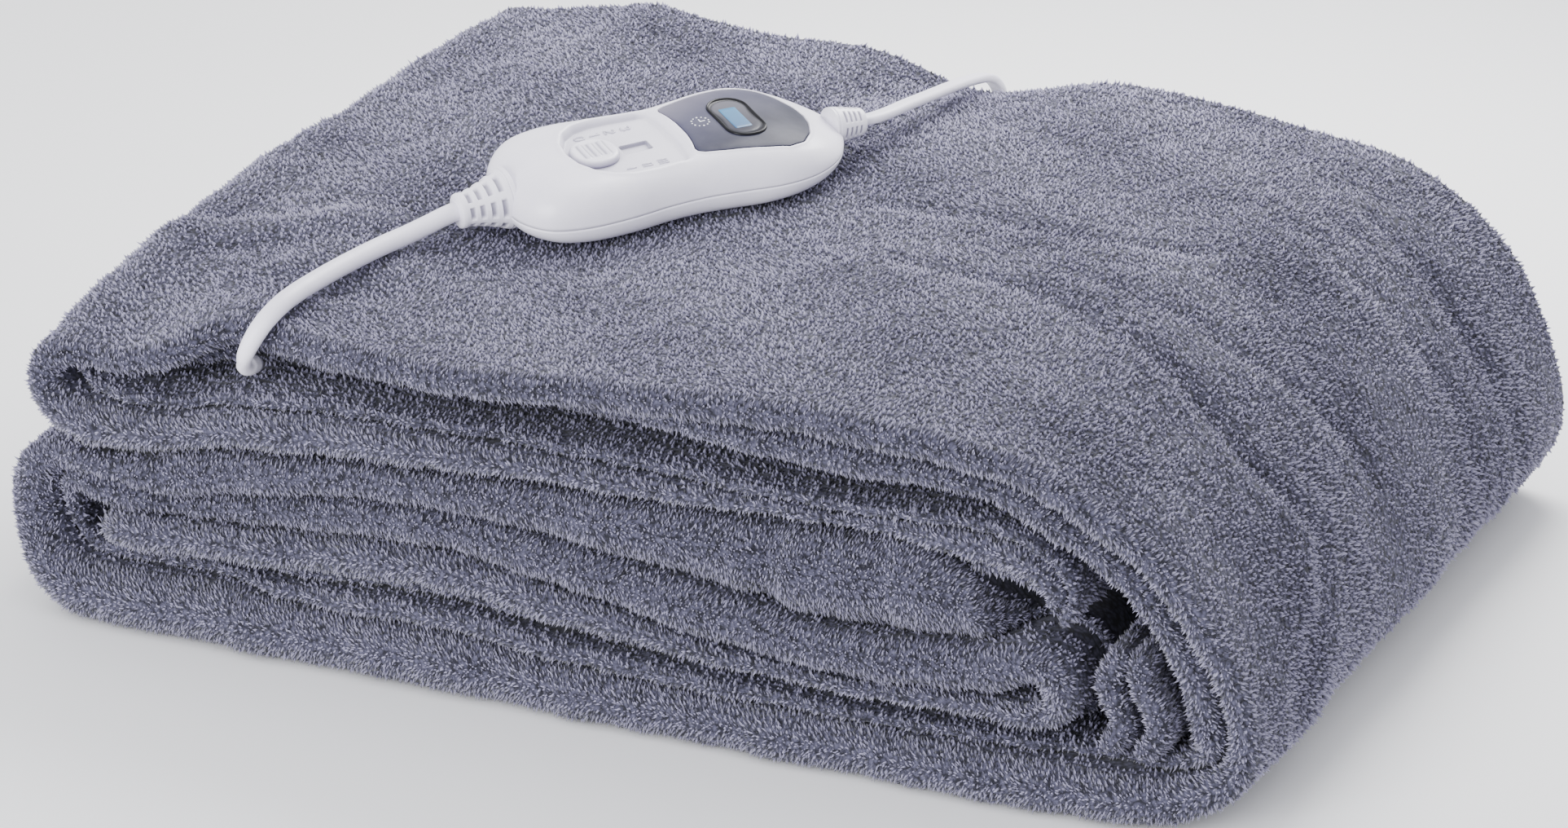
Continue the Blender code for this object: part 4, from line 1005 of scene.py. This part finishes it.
# The winding: its middle, outer radius, pitch, turns, and the turn where it crosses to its upper layer.
COIL_AT, COIL_OUTER, COIL_PITCH, COIL_TURNS, COIL_CROSS = (-51.0, 232.0), 43.3, 3.75, 8.25, 4.4
LEAD_D, MAINS_WIDE, MAINS_THICK = 7.0, 6.0, 3.8


def smooth_line(route, pitch):
    """A smooth line through the route's points at this pitch."""
    route = np.array(route, float)
    along = np.concatenate([[0], np.cumsum(np.linalg.norm(np.diff(route, axis=0), axis=1))])
    return smooth_table(along, route, np.linspace(0, along[-1], int(along[-1] / pitch) + 1))


def coil_line():
    """The wound length: a flat spiral inwards on the floor, one step up, and a spiral outwards over it."""
    t = np.linspace(0, COIL_TURNS, int(COIL_TURNS * 60))
    inner = COIL_OUTER - COIL_PITCH * COIL_CROSS
    radius = np.where(t < COIL_CROSS, COIL_OUTER - COIL_PITCH * t, inner + COIL_PITCH * (t - COIL_CROSS))
    angle = 2 * math.pi * t
    height = 3.2 + 6.15 * ease(t, COIL_CROSS - 0.4, COIL_CROSS)
    return np.stack([COIL_AT[0] + radius * np.cos(angle), COIL_AT[1] + radius * np.sin(angle), height], 1)


def swept(name, line, ring, roll, lean):
    """A closed cord: the ring of (level, up) carried along the line and turned by roll about it."""
    tangent = np.gradient(line, axis=0)
    tangent /= np.linalg.norm(tangent, axis=1)[:, None]
    heading = tangent[:, :2] + np.array((0, lean)) * np.abs(tangent[:, 2:])
    side = unit(np.column_stack([heading[:, 1], -heading[:, 0], np.zeros(len(line))]))
    up = np.cross(side, tangent)
    cos, sin = np.cos(roll)[:, None], np.sin(roll)[:, None]
    across = ring[:, 0] * cos - ring[:, 1] * sin
    rise = ring[:, 0] * sin + ring[:, 1] * cos
    rings = line[:, None] + across[..., None] * side[:, None] + rise[..., None] * up[:, None]
    return solid(name, rings, cord_finish(), slot="white_cord")


def cords():
    """The round lead into the cloth, and the flat mains lead with its winding, tie and plug."""
    a = circle(20)
    line = smooth_line(LEAD_ROUTE, 1.6)
    lead = swept("lead_into_cloth", line, LEAD_D / 2 * round_box(a, 1), np.zeros(len(line)), -1.2)
    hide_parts("heater_lead")
    top, tail = smooth_line(MAINS_ROUTE, 2.5), smooth_line(PLUG_ROUTE, 2.5)
    line = np.concatenate([top, coil_line(), tail])
    step = np.linalg.norm(np.diff(line, axis=0), axis=1)
    line = smooth_table(np.concatenate([[0], np.cumsum(step)]), line, np.arange(0, step.sum(), 2.4))
    ring = round_box(a, (0.8, 0.7)) * (MAINS_WIDE / 2, MAINS_THICK / 2)
    ring[:, 1] *= 1 - 0.16 * bell(np.cos(a), 0, 0.3)  # the groove between its two wires
    roll = math.pi / 2 * ease(line[:, 1], 186, 214) * (1 - ease(-line[:, 0], 100, 122))
    mains = swept("mains_lead_flat", line, ring, roll, 1.2)
    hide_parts("mains_lead", "mains_coil", "plug_lead")
    pieces = [*plug(), tie()]


PLUG_AT, PLUG_SIZE = (-129.0, 258.0, 6.8), (38.0, 35.0, 13.6)  # the middle of its cord end
# The plug: place along it, and its width and thickness there over the widest.
PLUG_TAPER = ((0, 0.22, 0.5), (0.3, 0.25, 0.55), (3, 0.26, 0.58), (7, 0.3, 0.66), (12, 0.5, 0.86),
              (17, 0.78, 0.98), (22, 0.95, 1), (30, 1, 1), (36.8, 1, 1), (37.6, 0.98, 0.96), (38, 0.94, 0.9))
PIN_APART, PIN_D = 19.0, 4.0
PIN_TAPER = ((-1, 0.1), (-1, 1), (9.9, 1), (10, 0.9), (17.8, 0.9), (18.7, 0.7), (19, 0.4), (19, 0.05))
# The tie: its middle, half its inside, and its section as half its width and how far out of the inside.
TIE_AT, TIE_HALF = (-85.8, 232.0, 6.3), (10.9, 6.7)
TIE_SECTION = ((-2.6, 0), (-3, 0.3), (-3, 0.8), (-2.6, 1.1), (2.6, 1.1), (3, 0.8), (3, 0.3), (2.6, 0))


def plug():
    """The two-pin plug: half widths along its length over a rounded section, with its two pins."""
    x, y, z = PLUG_AT
    long, wide, thick = PLUG_SIZE
    at = np.linspace(0, long, 60)
    taper = np.array(PLUG_TAPER).T
    half = np.stack([wide / 2 * np.interp(at, *taper[[0, 1]]), thick / 2 * np.interp(at, *taper[[0, 2]])], 1)
    section = half[:, None] * round_box(circle(48), 0.45) + (y, z)
    rings = np.concatenate([np.broadcast_to(x - at[:, None, None], (60, 48, 1)), section], -1)
    body = solid("plug_body", rings, cord_finish(), slot="white_cord", sharp=50)
    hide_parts("plug")
    made = [body]
    taper = np.array(PIN_TAPER)
    for node, side in (("plug_pin_a", -1), ("plug_pin_b", 1)):
        section = PIN_D / 2 * taper[:, 1:, None] * round_box(circle(20), 1) + (y + side * PIN_APART / 2, z)
        rings = np.concatenate([np.broadcast_to(x - long - taper[:, :1, None], (8, 20, 1)), section], -1)
        pin = solid("pin" + node[-2:], rings, pin_finish(), slot="pin", sharp=40)
        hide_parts(node)
        made.append(pin)
    return made


def tie():
    """A thin band round the winding, its section a rounded box that hugs the turns."""
    box = round_box(circle(48), 0.5)
    rings = []
    for width, clear in TIE_SECTION:
        x, z = (box * np.add(TIE_HALF, clear) + TIE_AT[::2]).T
        rings.append(np.column_stack([x, np.full(48, TIE_AT[1] + width), np.maximum(z, 0.05)]))
    points = np.concatenate(rings)
    faces = turned_out(points, [grid(9, 48) % len(points)])
    piece = new_piece("coil_band", to_world(points), faces, tie_finish(), slot="tie", sharp=40)
    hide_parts("coil_tie")
    return piece


# ---- finishes -------------------------------------------------------------------------------------------
def tint(red, green, blue):
    """A colour given as it shows on a screen, 0 to 255, turned linear."""
    return tuple(((c / 255 + 0.055) / 1.055) ** 2.4 for c in (red, green, blue))


def add(tree, kind, wires=None, **settings):
    """A node with these settings, each named input wired to a socket or set to a value."""
    made = tree.nodes.new(kind)
    for key, value in settings.items():
        setattr(made, key, value)
    for key, value in (wires or {}).items():
        if isinstance(value, bpy.types.NodeSocket):
            tree.links.new(value, made.inputs[key])
        else:
            made.inputs[key].default_value = value
    return made


def effect(name, inputs, outputs):
    """A new node group with float or vector inputs (name: default) and float or colour outputs."""
    tree = bpy.data.node_groups.new(name, "ShaderNodeTree")
    for key, value in inputs.items():
        kind = "NodeSocketVector" if value is None else "NodeSocketFloat"
        socket = tree.interface.new_socket(key, in_out="INPUT", socket_type=kind)
        if value is not None:
            socket.default_value = value
    for key in outputs:
        tree.interface.new_socket(key, in_out="OUTPUT", socket_type="NodeSocketFloat")
    return tree, tree.nodes.new("NodeGroupInput").outputs, tree.nodes.new("NodeGroupOutput").inputs


def noise(tree, place_at, scale, detail, rough=0.5):
    """Cloudy noise from 0 to 1, as its value and its colour."""
    wires = {"Vector": place_at, "Scale": scale, "Detail": detail, "Roughness": rough}
    return add(tree, "ShaderNodeTexNoise", wires).outputs


def ranged(tree, value, low, high):
    """0 where the value is low, 1 where it is high, and even between."""
    wires = {"Value": value, "From Min": low, "From Max": high}
    return add(tree, "ShaderNodeMapRange", wires).outputs["Result"]


def between(tree, factor, low, high):
    """A number between low and high."""
    return add(tree, "ShaderNodeMapRange", {"Value": factor, "To Min": low, "To Max": high}).outputs["Result"]


def mark(tree, name):
    """The number that each point of the piece was given under this name."""
    return add(tree, "ShaderNodeAttribute", attribute_name=name).outputs["Fac"]


def plan_view(tree):
    """The controller's plan, as its pieces keep it."""
    return add(tree, "ShaderNodeUVMap", uv_map="plan").outputs["UV"]


def axis_of(tree, vector, axis):
    """One axis of a vector."""
    return add(tree, "ShaderNodeSeparateXYZ", {"Vector": vector}).outputs[axis]


def moulded_grain():
    """Group: fine moulded grain and soft handling marks of plastics; Tone is 0 to 1 and Height about 0."""
    tree, given, out = effect("moulded_grain", {"Place": None, "Grain Scale": 2500.0, "Mark Scale": 60.0},
                              ("Tone", "Height"))
    grain = noise(tree, given["Place"], given["Grain Scale"], 2.0)
    marks = noise(tree, given["Place"], given["Mark Scale"], 4.0, 0.6)
    tree.links.new(ranged(tree, marks["Fac"], 0.35, 0.7), out["Tone"])
    tree.links.new(grain["Fac"], out["Height"])
    return tree


def fleece_clumps():
    """Group: how curly pile bunches. Curl is bright in each bunch's middle, Drift changes slowly."""
    tree, given, out = effect("fleece_clumps", {"Place": None, "Bunch Scale": 520.0, "Drift Scale": 22.0},
                              ("Curl", "Drift"))
    wander = noise(tree, given["Place"], 300.0, 2.0)["Color"]
    moved = add(tree, "ShaderNodeVectorMath", {0: wander, 1: (0.0022,) * 3}, operation="MULTIPLY").outputs[0]
    at = add(tree, "ShaderNodeVectorMath", {0: given["Place"], 1: moved}, operation="ADD").outputs[0]
    bunch = add(tree, "ShaderNodeTexVoronoi", {"Vector": at, "Scale": given["Bunch Scale"]})
    drift = noise(tree, given["Place"], given["Drift Scale"], 5.0, 0.62)
    tree.links.new(ranged(tree, bunch.outputs["Distance"], 0.75, 0.1), out["Curl"])
    tree.links.new(drift["Fac"], out["Drift"])
    return tree


EFFECTS = {}


def use(tree, maker, **values):
    """The shared effect in this material, with its own values."""
    if maker.__name__ not in EFFECTS:
        EFFECTS[maker.__name__] = maker()
    made = tree.nodes.new("ShaderNodeGroup")
    made.node_tree = EFFECTS[maker.__name__]
    place_at = add(tree, "ShaderNodeTexCoord").outputs["Object"]
    tree.links.new(place_at, made.inputs["Place"])
    for key, value in values.items():
        made.inputs[key.replace("_", " ")].default_value = value
    return made.outputs


def blended(tree, factor, low, high):
    """A colour between low and high."""
    made = add(tree, "ShaderNodeMix", {0: factor}, data_type="RGBA")
    for socket, value in ((made.inputs[6], low), (made.inputs[7], high)):
        if isinstance(value, bpy.types.NodeSocket):
            tree.links.new(value, socket)
        else:
            socket.default_value = (*value, 1)
    return made.outputs[2]


def bumped(tree, shader, height, distance):
    """Gives the shader this height as a bump, at most distance metres deep."""
    bump = add(tree, "ShaderNodeBump", {"Height": height, "Distance": distance})
    tree.links.new(bump.outputs["Normal"], shader["Normal"])


FINISHES = {}


def opened(material):
    """A material's node tree and its shader's inputs."""
    return material.node_tree, material.node_tree.nodes["Principled BSDF"].inputs


def finish(name, colour, rough, **uniform):
    """A material whose shader has these plain values, kept under its name."""
    made = FINISHES[name] = bpy.data.materials.new(name)
    made.use_nodes = True
    shader = opened(made)[1]
    shader["Base Color"].default_value, shader["Roughness"].default_value = (*colour, 1), rough
    for key, value in uniform.items():
        shader[key.replace("_", " ")].default_value = value
    return made


def plastic(name, dark, light, rough, grain=2500.0, deep=0.00001, **uniform):
    """Moulded plastic: slight change of colour and gloss by handling, and a fine grain."""
    if name in FINISHES:
        return FINISHES[name]
    made = finish(name, light, rough, **uniform)
    tree, shader = opened(made)
    marks = use(tree, moulded_grain, Grain_Scale=grain)
    tree.links.new(blended(tree, marks["Tone"], light, dark), shader["Base Color"])
    tree.links.new(between(tree, marks["Tone"], rough * 0.85, rough * 1.2), shader["Roughness"])
    bumped(tree, shader, marks["Height"], deep)
    return made


def shell_finish():
    """White moulded plastic, with painted shade: greyer where its mark says that a recess, groove or slot is.
    """
    if "white_moulded_shell" in FINISHES:
        return FINISHES["white_moulded_shell"]
    made = plastic("white_moulded_shell", tint(238, 235, 247), tint(246, 243, 253), 0.34, deep=0.000004,
                   Coat_Weight=0.15, Coat_Roughness=0.2)
    tree, shader = opened(made)
    plain = shader["Base Color"].links[0].from_socket
    # Painted shade: the mark blends the white towards this grey.
    tree.links.new(blended(tree, mark(tree, "painted_shade_and_rim"), plain, tint(118, 114, 138)), shader["Base Color"])
    return made


def cord_finish():
    """Soft white sheath."""
    return plastic("white_cord_sheath", tint(232, 229, 242), tint(240, 237, 249), 0.42, deep=0.000006)


def pin_finish():
    """Nickel-plated metal."""
    return plastic("nickel_pins", (0.55, 0.53, 0.49), (0.68, 0.66, 0.61), 0.25, grain=4000.0, deep=0.000004,
                   Metallic=1.0)


def tie_finish():
    """Matt black band."""
    return plastic("black_band", (0.018, 0.018, 0.02), (0.035, 0.035, 0.038), 0.7, grain=1800.0, deep=0.00008)


def panel_finish():
    """The panel: grey at its far inner corner, deepening to blue towards the near outer edge."""
    made = finish("shaded_panel", tint(110, 111, 135), 0.4, Specular_IOR_Level=0.15, Coat_Weight=0.04,
                  Coat_Roughness=0.15)
    tree, shader = opened(made)
    spun = add(tree, "ShaderNodeMapping", {"Vector": plan_view(tree), "Rotation": (0, 0, math.radians(62))})
    down = ranged(tree, axis_of(tree, spun.outputs["Vector"], "X"), -0.36, 0.03)
    ramp = add(tree, "ShaderNodeValToRGB", {"Fac": down})
    ramp.color_ramp.elements[0].color = (*tint(124, 120, 134), 1)
    ramp.color_ramp.elements[1].color = (*tint(12, 14, 44), 1)
    ramp.color_ramp.elements.new(0.45).color = (*tint(60, 59, 84), 1)
    marks = use(tree, moulded_grain, Grain_Scale=3500.0)
    worn = blended(tree, between(tree, marks["Tone"], 0, 0.12), ramp.outputs["Color"], (0.3, 0.3, 0.36))
    tree.links.new(worn, shader["Base Color"])
    bumped(tree, shader, marks["Height"], 0.000003)
    return made


def glass_finish():
    """The display's frame: a gloss black rim, by its mark, round smoky glass with a painted reflection, paler
    towards +q and darker towards -q.
    """
    made = finish("black_frame_smoky_glass", (0.012, 0.012, 0.014), 0.1, Specular_IOR_Level=0.12,
                  Coat_Weight=0.05, Coat_Roughness=0.04)
    tree, shader = opened(made)
    down = ranged(tree, axis_of(tree, plan_view(tree), "Y"), 0.62, 0.36)
    # Painted reflection: the glass paler towards +q of the plan, darker towards -q.
    glass_painted_reflection = blended(tree, down, tint(104, 103, 111), tint(46, 46, 56))
    tree.links.new(blended(tree, mark(tree, "painted_shade_and_rim"), glass_painted_reflection, (0.01, 0.01, 0.012)), shader["Base Color"])
    marks = use(tree, moulded_grain, Mark_Scale=150.0)
    tree.links.new(between(tree, marks["Tone"], 0.07, 0.16), shader["Roughness"])
    return made


def lcd_finish():
    """The lit window: blue, paler at one end, with the faint grid of its cells."""
    made = finish("lit_blue_window", tint(80, 140, 176), 0.25, Specular_IOR_Level=0.25,
                  Coat_Weight=0.1, Coat_Roughness=0.05, Emission_Strength=0.06)
    tree, shader = opened(made)
    plan = plan_view(tree)
    down = ranged(tree, axis_of(tree, plan, "Y"), 0.58, 0.40)
    cells = add(tree, "ShaderNodeTexWave", {"Vector": plan, "Scale": 60.0}, bands_direction="Y")
    colour = blended(tree, down, tint(52, 118, 156), tint(32, 84, 128))
    colour = blended(tree, between(tree, cells.outputs["Fac"], 0, 0.12), colour, tint(70, 110, 150))
    tree.links.new(colour, shader["Base Color"])
    tree.links.new(colour, shader["Emission Color"])
    return made


def floor_finish():
    """Plain pale floor."""
    return finish("pale_floor", (0.96, 0.96, 0.96), 0.8)


def fleece_finish():
    """Coral fleece with painted shade: dark at the roots of its tufts and on the ground between them, pale at
    their tips, and each tuft a little lighter or darker, by chance and by painted shade in the pits between
    curls.
    """
    if "coral_fleece" in FINISHES:
        return FINISHES["coral_fleece"]
    made = finish("coral_fleece", tint(120, 119, 138), 0.9, Sheen_Weight=0.14, Sheen_Roughness=0.5)
    tree, shader = opened(made)
    clumps = use(tree, fleece_clumps)
    tip, shade = mark(tree, "tip"), mark(tree, "shade")
    pale = blended(tree, shade, tint(18, 17, 34), tint(174, 170, 199))
    # Painted shade on the ground and at the roots, darkest at the edges of the bunches.
    deep = blended(tree, clumps["Curl"], tint(20, 20, 32), tint(82, 81, 104))
    painted_root_shade = blended(tree, shade, deep, tint(66, 65, 90))
    # Paler patches that drift slowly over the tips: partly rubbed wear, partly the nap's sheen painted in.
    worn = blended(tree, between(tree, clumps["Drift"], 0, 0.12), pale, tint(136, 133, 162))
    tree.links.new(blended(tree, tip, painted_root_shade, worn), shader["Base Color"])
    tree.links.new(between(tree, clumps["Curl"], 0.95, 0.8), shader["Roughness"])
    return made


studio()
cords()
for relief in RELIEFS:
    strain_relief(relief)
lower_shell()
upper_shell()
display()
clock_dots()
raised_marks()
knob()
blanket()
